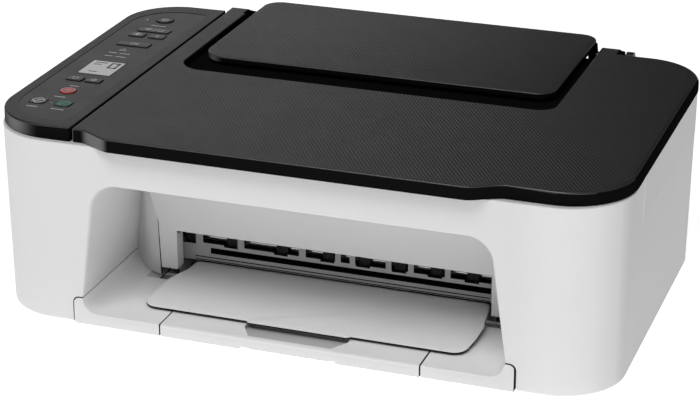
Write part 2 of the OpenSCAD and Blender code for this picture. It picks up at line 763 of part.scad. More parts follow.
module exit_chassis() {
  color([0.72, 0.72, 0.74]) {
    difference() {
      block([-116, -61.4, 21.6], [116, -59.4, 50]);
      for (c = comb_cells) {
        block([c[0], -62, 35.4], [c[1], -58, 42.2]);
      }
      for (x = roller_x) {
        block([x - 5.1, -62, 33.9], [x + 5.1, -58, 42.2]);
      }
      block([-90.8, -62, 27.8], [112.6, -58, 32.2]);
    }
    block([-116, -43, 40], [116, 34, 43]);
    for (i = [0:14]) {
      block([-98 + i * 14 - 0.8, -43, 43], [-98 + i * 14 + 0.8, 34, 44.4]);
    }
    block([-116, -43, 12], [116, -41, 40]);
    both_sides() block([114, -61.4, 21.6], [116.5, -58, 50]);
    both_sides() difference() {
      along_x(116, 119) polygon([
        [-59.4, pan_top], [55, pan_top], [55, 55], [40, 55], [38, 45], [-44, 45], [-46, 50], [-59.4, 50]]);
      rod_x(115, 120, eject_y, eject_z, shaft_r + running_fit);
      rod_x(115, 120, feed_y, feed_z, shaft_r + running_fit);
      rod_x(115, 120, feed_y, feed_z + feed_roller_r + pinch_roller_r + 0.5, 1.5 + running_fit);
    }
  }
}

module eject_shaft() {
  color([0.6, 0.6, 0.62]) rod_x(-121, 124, eject_y, eject_z, shaft_r);
}

module eject_rollers() {
  color([0.08, 0.08, 0.08]) for (x = roller_x) {
    difference() {
      rod_x(x - 4.6, x + 4.6, eject_y, eject_z, eject_roller_r);
      rod_x(x - 6, x + 6, eject_y, eject_z, shaft_r);
    }
  }
}

module feed_roller() {
  color([0.2, 0.2, 0.2]) {
    rod_x(-121, -112, feed_y, feed_z, shaft_r);
    rod_x(-112, 112, feed_y, feed_z, feed_roller_r);
    rod_x(112, 130, feed_y, feed_z, shaft_r);
    rod_x(121, 128, feed_y, feed_z, 10.5);
  }
}

module pinch_rollers() {
  color([0.15, 0.15, 0.15]) {
    rod_x(-120, 120, feed_y, feed_z + feed_roller_r + pinch_roller_r + 0.5, 1.5);
    for (x = [-90, -54, -18, 18, 54, 90]) {
      rod_x(x - 12, x + 12, feed_y, feed_z + feed_roller_r + pinch_roller_r + 0.5, pinch_roller_r);
    }
  }
}

module pickup_roller() {
  color([0.15, 0.15, 0.15]) {
    rod_x(-120, 120, pickup_y, pickup_z, shaft_r);
    rod_x(-22, 22, pickup_y, pickup_z, pickup_roller_r);
  }
}

module side_frames() {
  color([0.66, 0.67, 0.68]) both_sides() difference() {
    union() {
      block([rail_half - 2, 8, pan_top], [rail_half, 60, 101]);
      block([rail_half, 8, pan_top], [rail_half + 12, 60, pan_top + 2]);
      block([pulley_x - 14, 38, 88], [rail_half - 2, 56, 90]);
    }
    rod_x(rail_half - 3, rail_half + 1, rail_y, rail_z, rail_r);
    translate([pulley_x, pulley_y, 80]) cylinder(h = 20, r = 1.5 + running_fit, $fn = smooth);
  }
}

module carriage_rail() {
  color([0.75, 0.75, 0.77]) rod_x(-rail_half, rail_half, rail_y, rail_z, rail_r);
}

module encoder_strip() {
  color([0.5, 0.5, 0.5]) block([-rail_half + 2, 37.6, 96], [rail_half - 2, 38.2, 100.5]);
}

module carriage() {
  color([0.18, 0.18, 0.19]) difference() {
    union() {
      block([park_x - carriage_width / 2, -40, 48], [park_x + carriage_width / 2, 36, 52]);
      block([park_x - carriage_width / 2, 16, 52], [park_x + carriage_width / 2, 36, 103]);
      for (x = [-carriage_width / 2, -1.3, carriage_width / 2 - 2.6]) {
        block([park_x + x, -40, 52], [park_x + x + 2.6, 16, 96]);
        block([park_x + x, -44, 90], [park_x + x + 2.6, -30, 102]);
      }
      block([park_x - 8, 36, 70], [park_x + 8, 37.3, 80]);
    }
    rod_x(0, 200, rail_y, rail_z, rail_r + running_fit);
    rod_x(0, 200, -40, 98.5, 1.2 + running_fit);
    for (x = [-34, 6.8]) {
      block([park_x + x, -34, 47], [park_x + x + 26, 6, 53]);
    }
  }
}

// A cartridge: a tank with a print head below it
module cartridge(x0) {
  block([x0, -38, 52.3], [x0 + 36.6, 15.6, 90]);
  block([x0 + 5, -32, 48.4], [x0 + 28, 4, 52.3]);
}

module cartridge_black() {
  color([0.1, 0.1, 0.12]) cartridge(park_x + 2.1);
}

module cartridge_colour() {
  color([0.14, 0.14, 0.16]) cartridge(park_x - 38.7);
}

// A lock lever: a barrel with pins, and a plate hanging in front of the cartridge
module lock_lever(x0) {
  rod_x(x0, x0 + 36, -40, 98.5, 2.4);
  rod_x(x0 - 1.8, x0 + 37.8, -40, 98.5, 1.2);
  block([x0 + 2, -43.8, 66], [x0 + 34, -42, 96.4]);
  block([x0 + 2, -43.8, 96.4], [x0 + 34, -39, 98.4]);
  block([x0 + 10, -46, 66], [x0 + 26, -43.8, 70]);
}

module lock_lever_black() {
  color([0.35, 0.36, 0.38]) lock_lever(park_x + 2.4);
}

module lock_lever_colour() {
  color([0.35, 0.36, 0.38]) lock_lever(park_x - 38.4);
}

module carriage_belt() {
  color([0.1, 0.1, 0.1]) along_z(72, 78) difference() {
    polygon(concat(
      arc_points(-pulley_x, pulley_y, belt_r + 1, 90, 270),
      arc_points(pulley_x, pulley_y, belt_r + 1, -90, 90)));
    polygon(concat(
      arc_points(-pulley_x, pulley_y, belt_r, 90, 270),
      arc_points(pulley_x, pulley_y, belt_r, -90, 90)));
  }
}

// A belt pulley with its spindle, at a given X
module pulley(x, spindle_z) {
  translate([x, pulley_y, 71]) cylinder(h = 8, r = pulley_r - 0.2, $fn = smooth);
  translate([x, pulley_y, spindle_z]) cylinder(h = 91 - spindle_z, r = 1.5, $fn = smooth);
}

module drive_pulley() {
  color([0.8, 0.8, 0.78]) pulley(-pulley_x, 69.5);
}

module idler_pulley() {
  color([0.8, 0.8, 0.78]) pulley(pulley_x, 69.5);
}

module carriage_motor() {
  color([0.6, 0.61, 0.62]) {
    difference() {
      translate([-pulley_x, pulley_y, 46]) cylinder(h = 24, r = 12.5, $fn = smooth);
      translate([-pulley_x, pulley_y, 65]) cylinder(h = 6, r = 1.5 + running_fit, $fn = smooth);
    }
    block([-rail_half + 2, pulley_y - 10, 56], [-pulley_x - 10, pulley_y + 10, 58]);
  }
}

module feed_motor() {
  color([0.6, 0.61, 0.62]) {
    rod_x(134, 160, 76, 24, 14);
    rod_x(129, 134, 76, 24, 2.5);
    block([134, 60, pan_top], [136, 92, 12]);
  }
}

module service_station() {
  color([0.22, 0.22, 0.24]) {
    difference() {
      block([124, -40, pan_top], [190, 30, 40]);
      block([127, -37, 12], [187, 27, 41]);
    }
    for (x = [130, 162]) {
      block([x, -30, 12], [x + 24, 4, 44]);
    }
    block([157, -30, 12], [158.5, 4, 46]);
  }
}

module main_board() {
  color([0.1, 0.35, 0.18]) {
    block([-190, 64, 8], [-128, 112, 9.6]);
    block([-152, 112, 8], [-136, 150, 9.6]);
    block([-180, 78, 9.6], [-160, 98, 12]);
    block([-150, 72, 9.6], [-138, 84, 11.5]);
    block([-188, 66, 9.6], [-184, 94, 18]);
    for (y = [68, 108], x = [-186, -132]) {
      block([x - 2, y - 2, pan_top], [x + 2, y + 2, 8]);
    }
  }
}

module power_supply() {
  color([0.15, 0.15, 0.16]) block([20, 121.5, pan_top], [112, 148, 38]);
}

module power_inlet() {
  color([0.08, 0.08, 0.08]) {
    difference() {
      block([75.2, 148, 12.2], [100.8, box_rear_y - 0.4, 31.8]);
      block([78, 150, 15], [98, box_rear_y + 1, 29]);
    }
    for (x = [83, 93]) {
      block([x - 1, 149.5, 20], [x + 1, 153, 24]);
    }
  }
}

module usb_port() {
  color([0.7, 0.7, 0.72]) {
    difference() {
      block([-150.5, 143, 9.6], [-137.5, box_rear_y - 0.4, 21.5]);
      block([-149.3, 145, 10.8], [-138.7, box_rear_y + 1, 20.3]);
    }
    block([-146.5, 144, 14], [-141.5, 150, 17]);
  }
}

base_pan();
rubber_feet();
front_housing();
bay_liner();
scanner_frame();
scanner_tub();
rear_cover();
output_apron();
control_panel();
lcd_window();
status_lamp();
button_power();
button_wireless();
button_info();
button_eco();
button_copy();
button_paper();
button_ok();
button_stop();
button_black();
button_colour();
document_cover();
lid_cushion();
lid_pins();
paper_support();
platen_glass();
scan_bar();
scan_rail();
feed_slot_cover();
paper_guide_left();
paper_guide_right();
feed_chute();
output_cover();
output_tray();
tray_plate();
output_extension();
exit_chassis();
eject_shaft();
eject_rollers();
feed_roller();
pinch_rollers();
pickup_roller();
side_frames();
carriage_rail();
encoder_strip();
carriage();
cartridge_black();
cartridge_colour();
lock_lever_black();
lock_lever_colour();
carriage_belt();
drive_pulley();
idler_pulley();
carriage_motor();
feed_motor();
service_station();
main_board();
power_supply();
power_inlet();
usb_port();
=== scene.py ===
import json
import math

import bmesh
import bpy
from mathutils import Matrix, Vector


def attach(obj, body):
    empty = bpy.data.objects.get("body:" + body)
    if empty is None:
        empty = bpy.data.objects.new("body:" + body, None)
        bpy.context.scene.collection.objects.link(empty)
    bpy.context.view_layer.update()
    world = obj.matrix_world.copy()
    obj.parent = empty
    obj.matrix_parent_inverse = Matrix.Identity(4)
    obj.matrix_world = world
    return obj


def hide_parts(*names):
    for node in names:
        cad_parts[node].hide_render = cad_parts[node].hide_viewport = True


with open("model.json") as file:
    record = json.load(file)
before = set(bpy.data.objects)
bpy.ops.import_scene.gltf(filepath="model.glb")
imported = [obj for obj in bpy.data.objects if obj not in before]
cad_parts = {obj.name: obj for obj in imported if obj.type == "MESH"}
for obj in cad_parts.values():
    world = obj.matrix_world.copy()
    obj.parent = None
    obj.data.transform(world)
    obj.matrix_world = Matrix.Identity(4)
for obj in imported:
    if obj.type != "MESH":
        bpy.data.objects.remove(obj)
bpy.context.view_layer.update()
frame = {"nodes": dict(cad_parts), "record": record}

MM = 0.001
nodes = frame["nodes"]

# Places in millimetres, in the row's frame
LIFT = 4.6                      # underside of the casing
PAN = 7.1                       # top of the base pan
FLOOR = 13.2                    # top of the apron's floor and of the tray
JOINT = 23.5                    # joint between the apron and the housing
APRON_FRONT = -150.5            # front face of the apron, the tray and the housing
APRON_BACK = -60                # back of the apron and of the bay
TRAY_SIDE = 90.5                # half the tray's width
TOP = 144                       # top of the lid and of the control panel
PANEL_FACE = 143.7              # smooth face sunk into the control panel
POCKET_FLOOR = 138              # floor of the lid's pocket
SUPPORT_TOP = 145               # top of the folded paper support
STRIP_FOOT = 104                # foot of the scanner's side strip
HINGE = (147, 132)              # Y and Z of the line that the lid and the support turn about
COVER_PIVOT = (-70, 23.5)       # Y and Z of the line that the output cover turns about
EJECT_AXIS = (-52, 37.3)        # Y and Z of the eject rollers' shaft
LAMP = (-199.5, 82)             # X and Y of the status lamp
LIP_START, LIP_RUN = 119, 26    # where the lid's front edge turns back, and over what width


# Outlines, all in millimetres

def arc(cx, cy, r, a0, a1, steps):
    # Points from angle a0 to a1, in degrees
    points = []
    for i in range(steps + 1):
        a = math.radians(a0 + (a1 - a0) * i / steps)
        points.append((cx + r * math.cos(a), cy + r * math.sin(a)))
    return points


def rounded(x0, x1, y0, y1, radii, steps):
    # A rectangle with rounded corners: front left, front right, rear right and rear left
    fl, fr, rr, rl = radii
    return (arc(x0 + fl, y0 + fl, fl, 180, 270, steps) + arc(x1 - fr, y0 + fr, fr, 270, 360, steps)
            + arc(x1 - rr, y1 - rr, rr, 0, 90, steps) + arc(x0 + rl, y1 - rl, rl, 90, 180, steps))


def circle(cx, cy, r, count):
    return arc(cx, cy, r, 0, 360 - 360 / count, count - 1)


def quarter(steps):
    # Cosine and sine of the angles from 0 to 90 degrees
    angles = [math.radians(90 * k / steps) for k in range(steps + 1)]
    return [(math.cos(a), math.sin(a)) for a in angles]


def lip(x, inset):
    # A point of the lid's front edge, which runs further back at its two ends
    t = min(1.0, max(0.0, (abs(x) - LIP_START) / LIP_RUN))
    return x, -158 + 11 * t * t * (3 - 2 * t) + inset


def lid_line(inset=0.0):
    # The lid seen from above, moved inward by inset
    front = [lip(start + LIP_RUN * i / 20, inset) for start in (-LIP_START - LIP_RUN, LIP_START) for i in range(21)]
    x = -150.6 + inset
    return (front + arc(172.5, -102, 45 - inset, 270, 360, 20) + arc(177.5, 81, 40 - inset, 0, 90, 20)
            + [(x + 1, 121 - inset), (x, 120 - inset), (x, -146 + inset), (x + 1, -147 + inset)])


def panel_line():
    # The control panel seen from above
    return (arc(-172.5, -102, 45, 180, 270, 20) + [(-153.4, -147), (-152.4, -146)]
            + [(-152.4, 121), (-153.4, 122)] + arc(-177.5, 82, 40, 90, 180, 20))


def casing_line():
    # The casing seen from above
    return rounded(-217, 217, APRON_FRONT, 121, [45, 45, 40, 40], 20)


def bay_line(grow, foot):
    # The bay's opening seen from the front: upright below the apron's joint, then leaning inward
    side = [(147 + grow, foot)] + ([(147 + grow, JOINT)] if foot < JOINT else [])
    return ([(-x, z) for x, z in side[::-1]] + side + arc(119.5, 89.3, 18 + grow, 0, 90, 12)
            + arc(-119.5, 89.3, 18 + grow, 90, 180, 12))


def smooth_line(points):
    # A smooth curve through the points between the first and the last
    steps = 5
    out = []
    for i in range(1, len(points) - 2):
        a, b, c, d = (Vector(p) for p in points[i - 1:i + 3])
        for k in range(steps):
            t = k / steps
            p = b * 2 + (c - a) * t + (a * 2 - b * 5 + c * 4 - d) * t * t + (b * 3 - a - c * 3 + d) * t ** 3
            out.append((p.x / 2, p.y / 2))
    return out + [points[-2]]


def normals_of(line):
    # Outward unit normals of an anticlockwise outline
    out = []
    for i in range(len(line)):
        d = (Vector(line[(i + 1) % len(line)]) - Vector(line[i - 1])).normalized()
        out.append(Vector((d.y, -d.x)))
    return out


def moved_in(line, inset):
    # The outline moved inward by inset
    return [(p[0] - n.x * inset, p[1] - n.y * inset) for p, n in zip(line, normals_of(line))]


def mirrored(line):
    # The outline on the other side of the middle, wound the same way
    return [(-x, y) for x, y in line][::-1]


# Mesh building

def put(name, data):
    # A new object in the scene
    thing = bpy.data.objects.new(name, data)
    bpy.context.scene.collection.objects.link(thing)
    return thing


def build(name, points, faces, material=None):
    # A mesh object from points in millimetres
    mesh = bpy.data.meshes.new(name)
    mesh.from_pydata([Vector(p) * MM for p in points], [], faces)
    mesh.update()
    if material:
        mesh.materials.append(material)
    return put(name, mesh)


def loft(name, rings, material=None):
    # A closed solid through rings of 3-D points that all have the same count
    count = len(rings[0])
    points = [p for ring in rings for p in ring]
    faces = [list(range(count))[::-1], [len(points) - count + i for i in range(count)]]
    for k in range(len(rings) - 1):
        for i in range(count):
            j = (i + 1) % count
            faces.append([k * count + i, k * count + j, (k + 1) * count + j, (k + 1) * count + i])
    return build(name, points, faces, material)


def at_height(line, z):
    return [(x, y, z) for x, y in line]


def slab(name, line, z0, z1, top=1.0, foot=0.4, material=None, steps=5):
    # A plate with rounded rims: top, the upper rim's radius, may be a function of the outline's point
    radius = top if callable(top) else (lambda p: top)
    rings = [at_height(moved_in(line, foot * (1 - sin)), z0 + foot * (1 - cos)) for cos, sin in quarter(3)]
    normals = normals_of(line)
    for cos, sin in quarter(steps):
        ring = []
        for p, n in zip(line, normals):
            r = radius(p)
            inset = r * (1 - cos)
            ring.append((p[0] - n.x * inset, p[1] - n.y * inset, z1 - r * (1 - sin)))
        rings.append(ring)
    return loft(name, rings, material)


def prism_z(name, line, z0, z1, material=None):
    return loft(name, [at_height(line, z0), at_height(line, z1)], material)


def prism_y(name, line, y0, y1, material=None):
    return loft(name, [[(p[0], y1, p[1]) for p in line], [(p[0], y0, p[1]) for p in line]], material)


def prism_x(name, line, x0, x1, material=None):
    return loft(name, [[(x0, p[0], p[1]) for p in line], [(x1, p[0], p[1]) for p in line]], material)


def box(name, low, high, material=None):
    line = [(low[0], low[1]), (high[0], low[1]), (high[0], high[1]), (low[0], high[1])]
    return prism_z(name, line, low[2], high[2], material)


def bore(centre, r, x0, x1):
    # A round bar along X that cuts a hole
    return prism_x("cut", circle(*centre, r, 48), x0, x1)


def discard(thing):
    mesh = thing.data
    bpy.data.objects.remove(thing)
    bpy.data.meshes.remove(mesh)


def bake(thing):
    # Turns an object's modifiers into its mesh
    graph = bpy.context.evaluated_depsgraph_get()
    graph.update()
    mesh = bpy.data.meshes.new_from_object(thing.evaluated_get(graph))
    old = thing.data
    thing.modifiers.clear()
    thing.data = mesh
    bpy.data.meshes.remove(old)


def combine(thing, others, operation="DIFFERENCE"):
    # Cuts other solids from a solid, or joins them to it, and removes them
    for other in others:
        step = thing.modifiers.new("step", "BOOLEAN")
        step.operation = operation
        step.object = other
        step.solver = "EXACT"
        bake(thing)
        discard(other)


def soften(thing, width, segments=3):
    # Rounds the sharp edges and shades the rest smooth
    mesh = thing.data
    shape = bmesh.new()
    shape.from_mesh(mesh)
    bmesh.ops.remove_doubles(shape, verts=shape.verts, dist=0.00001)
    bmesh.ops.dissolve_limit(shape, angle_limit=math.radians(0.5), verts=shape.verts, edges=shape.edges)
    bmesh.ops.recalc_face_normals(shape, faces=shape.faces)
    shape.to_mesh(mesh)
    shape.free()
    if width > 0:
        rim = thing.modifiers.new("rim", "BEVEL")
        rim.width = width * MM
        rim.segments = segments
        rim.limit_method = "ANGLE"
        rim.angle_limit = math.radians(32)
    for face in mesh.polygons:
        face.use_smooth = True
    if width > 0:
        bake(thing)
    even = thing.modifiers.new("even", "WEIGHTED_NORMAL")
    even.keep_sharp = True
    even.weight = 80
    thing.data.set_sharp_from_angle(angle=math.radians(40))
    return thing


# Materials

def shader(name, colour, roughness, metal=0.0, coat=0.0, shine=0.5):
    # A new material, with its node tree and its Principled shader
    material = bpy.data.materials.new(name)
    material.use_nodes = True
    tree = material.node_tree
    surface = tree.nodes["Principled BSDF"]
    surface.inputs["Base Color"].default_value = (*colour, 1)
    surface.inputs["Roughness"].default_value = roughness
    surface.inputs["Metallic"].default_value = metal
    surface.inputs["Coat Weight"].default_value = coat
    surface.inputs["Specular IOR Level"].default_value = shine
    return material, tree, surface


def add(tree, kind, **values):
    # A new node with these properties
    node = tree.nodes.new(kind)
    for key, value in values.items():
        setattr(node, key, value)
    return node


def maths(tree, operation, a, b=None):
    # A Math node on one or two values, each a socket or a number
    node = add(tree, "ShaderNodeMath", operation=operation)
    for socket, value in ((node.inputs[0], a), (node.inputs[1], b)):
        if value is None:
            continue
        if isinstance(value, (int, float)):
            socket.default_value = value
        else:
            tree.links.new(value, socket)
    return node.outputs[0]


def wave(tree, value, pitch):
    # A sine that repeats each time value grows by pitch
    return maths(tree, "SINE", maths(tree, "MULTIPLY", value, 2 * math.pi / pitch))


def place(tree):
    # Where the point is on the object, in metres
    return add(tree, "ShaderNodeTexCoord").outputs["Object"]


def axes(tree, vector):
    # The X and Y parts of a vector
    split = add(tree, "ShaderNodeSeparateXYZ")
    tree.links.new(vector, split.inputs[0])
    return split.outputs["X"], split.outputs["Y"]


def grain(tree, scale, detail):
    # Noise from 0 to 1 that is fixed to the object
    noise = add(tree, "ShaderNodeTexNoise")
    noise.inputs["Scale"].default_value = scale
    noise.inputs["Detail"].default_value = detail
    noise.inputs["Roughness"].default_value = 0.55
    tree.links.new(place(tree), noise.inputs["Vector"])
    return noise.outputs["Fac"]


def rescale(tree, value, ends, start, stop):
    node = add(tree, "ShaderNodeMapRange")
    node.inputs[ends + " Min"].default_value = start
    node.inputs[ends + " Max"].default_value = stop
    tree.links.new(value, node.inputs["Value"])
    return node.outputs["Result"]


def spread(tree, value, low, high):
    # Takes a value from 0 to 1 to one from low to high
    return rescale(tree, value, "To", low, high)


def share(tree, value, start, stop):
    # 0 where the value is start and before, 1 where it is stop and after
    return rescale(tree, value, "From", start, stop)


def gloss(tree, surface, scale, detail, low, high):
    # Uneven gloss: roughness that wanders between low and high
    tree.links.new(spread(tree, grain(tree, scale, detail), low, high), surface.inputs["Roughness"])


def tint(tree, surface, value, dark, light):
    # Base colour between dark and light as the value goes from 0 to 1
    ramp = add(tree, "ShaderNodeMix", data_type="RGBA")
    ramp.inputs["A"].default_value = (*dark, 1)
    ramp.inputs["B"].default_value = (*light, 1)
    tree.links.new(value, ramp.inputs["Factor"])
    tree.links.new(ramp.outputs["Result"], surface.inputs["Base Color"])


def bump(tree, surface, height, strength, distance):
    node = add(tree, "ShaderNodeBump")
    node.inputs["Strength"].default_value = strength
    node.inputs["Distance"].default_value = distance
    tree.links.new(height, node.inputs["Height"])
    tree.links.new(node.outputs["Normal"], surface.inputs["Normal"])


def moulded(name, dark, light, roughness, strength=0.12, scale=1600, coat=0.0, shine=0.5):
    # Moulded plastic: a fine spark texture, slight colour drift and uneven gloss
    material, tree, surface = shader(name, light, roughness, coat=coat, shine=shine)
    tint(tree, surface, grain(tree, 14, 3), dark, light)
    gloss(tree, surface, 60, 3, roughness - 0.04, roughness + 0.05)
    bump(tree, surface, grain(tree, scale, 2), strength, 0.00006)
    return material


def ribbed(name, dark, light, roughness):
    # Moulded black plastic with fine diagonal ribs, each one broken like a twill weave
    material, tree, surface = shader(name, light, roughness)
    x, y = axes(tree, place(tree))
    pitch, knot_pitch = 0.00224, 0.0021
    turn_cos, turn_sin = 0.8387, 0.5446
    across = maths(tree, "ADD", maths(tree, "MULTIPLY", x, turn_cos), maths(tree, "MULTIPLY", y, turn_sin))
    along = maths(tree, "ADD", maths(tree, "MULTIPLY", x, turn_sin), maths(tree, "MULTIPLY", y, -turn_cos))
    rib = wave(tree, across, pitch)
    knot = maths(tree, "SINE", maths(tree, "ADD", maths(tree, "MULTIPLY", along, 2 * math.pi / knot_pitch),
                                     maths(tree, "MULTIPLY", across, math.pi / pitch)))
    height = maths(tree, "ADD", maths(tree, "MULTIPLY", rib, 0.7), maths(tree, "MULTIPLY", knot, 0.32))
    tint(tree, surface, spread(tree, height, 0, 1), dark, light)
    gloss(tree, surface, 45, 3, roughness - 0.03, roughness + 0.05)
    bump(tree, surface, height, 0.5, 0.0002)
    return material


def right_side_light(material):
    # Painted light and shade in the casing's white, set by position along X: the colour is scaled to 0.877 left of 150
    # mm, full white on the right corners as a painted highlight, and down to 0.66 along the right wall as painted
    # shade
    tree = material.node_tree
    surface = tree.nodes["Principled BSDF"]
    colour = surface.inputs["Base Color"].links[0].from_socket
    across = axes(tree, place(tree))[0]
    ramp = add(tree, "ShaderNodeValToRGB")
    tree.links.new(share(tree, across, 0.15, 0.2175), ramp.inputs["Fac"])
    stops = ramp.color_ramp.elements
    stops[0].color = (0.877, 0.877, 0.877, 1)
    stops[1].color = (0.66, 0.66, 0.662, 1)
    stops.new(0.75).color = (1, 1, 1, 1)
    stops.new(0.92).color = (0.93, 0.93, 0.93, 1)
    both = add(tree, "ShaderNodeMix", data_type="RGBA", blend_type="MULTIPLY")
    both.inputs["Factor"].default_value = 1
    tree.links.new(colour, both.inputs["A"])
    tree.links.new(ramp.outputs["Color"], both.inputs["B"])
    tree.links.new(both.outputs["Result"], surface.inputs["Base Color"])


def edge_black(name):
    # Smooth black plastic with a painted sheen: the faces turned half left are painted paler, standing in for the
    # reflection of a light on the left
    material, tree, surface = shader(name, (0.007, 0.007, 0.0075), 0.3, shine=0)
    facing = axes(tree, add(tree, "ShaderNodeTexCoord").outputs["Normal"])[0]
    left_sheen = wave(tree, share(tree, facing, -0.05, -1.0), 2)
    tint(tree, surface, maths(tree, "POWER", left_sheen, 2.2), (0.006, 0.006, 0.0064), (0.17, 0.17, 0.172))
    gloss(tree, surface, 60, 3, 0.26, 0.34)
    bump(tree, surface, grain(tree, 900, 2), 0.05, 0.00006)
    return material


def metal(name, colour, roughness, stretch=(1, 60, 60)):
    # Ground or plated steel with fine drawn lines
    material, tree, surface = shader(name, colour, roughness, metal=1.0)
    mapping = add(tree, "ShaderNodeMapping")
    mapping.inputs["Scale"].default_value = stretch
    tree.links.new(place(tree), mapping.inputs["Vector"])
    noise = add(tree, "ShaderNodeTexNoise")
    noise.inputs["Scale"].default_value = 40
    noise.inputs["Detail"].default_value = 4
    tree.links.new(mapping.outputs["Vector"], noise.inputs["Vector"])
    tree.links.new(spread(tree, noise.outputs["Fac"], roughness - 0.08, roughness + 0.12), surface.inputs["Roughness"])
    tint(tree, surface, noise.outputs["Fac"], [c * 0.85 for c in colour], colour)
    bump(tree, surface, noise.outputs["Fac"], 0.1, 0.00004)
    return material


def rubber(name, dark, light):
    # Matt rubber with a fine ground surface
    material, tree, surface = shader(name, light, 0.72)
    tint(tree, surface, grain(tree, 300, 3), dark, light)
    gloss(tree, surface, 900, 3, 0.6, 0.85)
    bump(tree, surface, grain(tree, 2500, 2), 0.4, 0.00008)
    return material


white = moulded("casing_white", (0.865, 0.865, 0.868), (0.9, 0.9, 0.9), 0.45, shine=0.25)
# The casing's white gets a painted highlight on its right corners and painted shade along its right wall
right_side_light(white)
top_ribbed = ribbed("ribbed_black", (0.0085, 0.0085, 0.0088), (0.031, 0.031, 0.0318), 0.43)
band_black = edge_black("band_black")
# A paler black for the bevels along the black parts' top edges: a painted highlight line
rim_highlight = moulded("rim_highlight", (0.035, 0.035, 0.036), (0.045, 0.045, 0.046), 0.3, 0.05, 900)
panel_black = moulded("panel_smooth", (0.022, 0.022, 0.023), (0.027, 0.027, 0.028), 0.44, 0.1)
button_black = moulded("button_black", (0.014, 0.014, 0.015), (0.019, 0.019, 0.02), 0.36, 0.1)
# A paler white for the edges of the joint along the right side: a painted highlight line
seam_highlight = moulded("seam_highlight", (0.93, 0.93, 0.93), (0.96, 0.96, 0.96), 0.5, shine=0.5)
# A paler white for the apron's and the tray's faces that look up: painted light from above
top_light_white = moulded("top_light_white", (0.86, 0.86, 0.86), (0.89, 0.89, 0.89), 0.45, shine=0.25)
# Grey for the floors of the tray's notch and of a recess in the apron: painted shade
recess_shade = moulded("recess_shade", (0.5, 0.5, 0.5), (0.54, 0.54, 0.54), 0.6, shine=0.2)
shade = moulded("shadow_strip", (0.012, 0.012, 0.012), (0.018, 0.018, 0.018), 0.8, 0.05, shine=0.1)
dark = moulded("dark_plastic", (0.018, 0.018, 0.019), (0.026, 0.026, 0.027), 0.5, 0.2)
grey = moulded("grey_plastic", (0.34, 0.34, 0.35), (0.40, 0.40, 0.41), 0.48)
comb_grey = moulded("comb_plastic", (0.46, 0.46, 0.47), (0.52, 0.52, 0.53), 0.45)
red = moulded("stop_red", (0.42, 0.03, 0.03), (0.52, 0.045, 0.04), 0.34, 0.08)
ink_white = moulded("mark_white", (0.72, 0.72, 0.72), (0.80, 0.80, 0.80), 0.5, 0.05)
ink_green = moulded("mark_green", (0.02, 0.36, 0.22), (0.03, 0.46, 0.28), 0.45, 0.05)
ink_pink = moulded("mark_pink", (0.60, 0.42, 0.42), (0.70, 0.50, 0.50), 0.4, 0.05)
display = moulded("display_grey", (0.34, 0.35, 0.345), (0.40, 0.41, 0.40), 0.22, 0.02, 700, coat=0.5)
display_mark = moulded("display_mark", (0.03, 0.03, 0.032), (0.045, 0.045, 0.047), 0.4, 0.02)
lamp = moulded("lamp_green", (0.35, 0.62, 0.18), (0.50, 0.78, 0.28), 0.3, 0.05)
foam = moulded("cushion_white", (0.78, 0.78, 0.77), (0.84, 0.84, 0.83), 0.7, 0.35, 700)
steel = metal("ground_steel", (0.60, 0.60, 0.61), 0.22)
zinc = metal("plated_steel", (0.52, 0.53, 0.54), 0.34, (30, 1, 30))
black_rubber = rubber("black_rubber", (0.008, 0.008, 0.008), (0.016, 0.016, 0.016))
board = moulded("circuit_green", (0.01, 0.13, 0.05), (0.02, 0.20, 0.08), 0.3, 0.3, 500)
cartridge = moulded("cartridge_black", (0.02, 0.02, 0.022), (0.03, 0.03, 0.033), 0.4, 0.15)


def printed_film():
    # Film printed with fine upright lines
    material, tree, surface = shader("printed_film", (0.5, 0.5, 0.52), 0.2)
    line = wave(tree, axes(tree, place(tree))[0], 0.0008)
    tint(tree, surface, spread(tree, line, 0, 1), (0.12, 0.12, 0.13), (0.62, 0.62, 0.65))
    return material


def window_glass():
    # Flat scanner glass: almost clear, with a faint green edge and small smears in its gloss
    material, tree, surface = shader("scanner_glass", (0.86, 0.93, 0.91), 0.03)
    surface.inputs["Transmission Weight"].default_value = 0.92
    tint(tree, surface, grain(tree, 8, 2), (0.84, 0.92, 0.90), (0.90, 0.95, 0.94))
    gloss(tree, surface, 25, 4, 0.02, 0.07)
    return material


film = printed_film()
glass = window_glass()


# Pieces

def turn(name, centre, profile, material, steps):
    # Turns a closed outline of (x, radius) points round an axis along X at a given Y and Z
    points = []
    for i in range(steps):
        a = 2 * math.pi * i / steps
        points += [(x, centre[0] + r * math.cos(a), centre[1] + r * math.sin(a)) for x, r in profile]
    count = len(profile)
    faces = []
    for i in range(steps):
        j = (i + 1) % steps
        for k in range(count):
            m = (k + 1) % count
            faces.append([i * count + k, i * count + m, j * count + m, j * count + k])
    return build(name, points, faces, material)


def join(name, parts):
    # Makes one object of several, keeping each one's materials
    materials = []
    shape = bmesh.new()
    for part in parts:
        start = len(shape.faces)
        shape.from_mesh(part.data)
        shape.faces.ensure_lookup_table()
        places_of = []
        for material in part.data.materials:
            if material not in materials:
                materials.append(material)
            places_of.append(materials.index(material))
        for face in shape.faces[start:]:
            face.material_index = places_of[face.material_index] if places_of else 0
    mesh = bpy.data.meshes.new(name)
    shape.to_mesh(mesh)
    shape.free()
    for material in materials:
        mesh.materials.append(material)
    for part in parts:
        discard(part)
    return put(name, mesh)


def paint(thing, *materials):
    # Gives a piece these materials, and all its faces the first of them
    thing.data.materials.clear()
    for material in materials:
        thing.data.materials.append(material)
    for face in thing.data.polygons:
        face.material_index = 0


def paint_by(thing, choose):
    # Gives each face the material whose number choose(centre in mm, normal) returns
    for face in thing.data.polygons:
        face.material_index = choose(face.center / MM, face.normal)


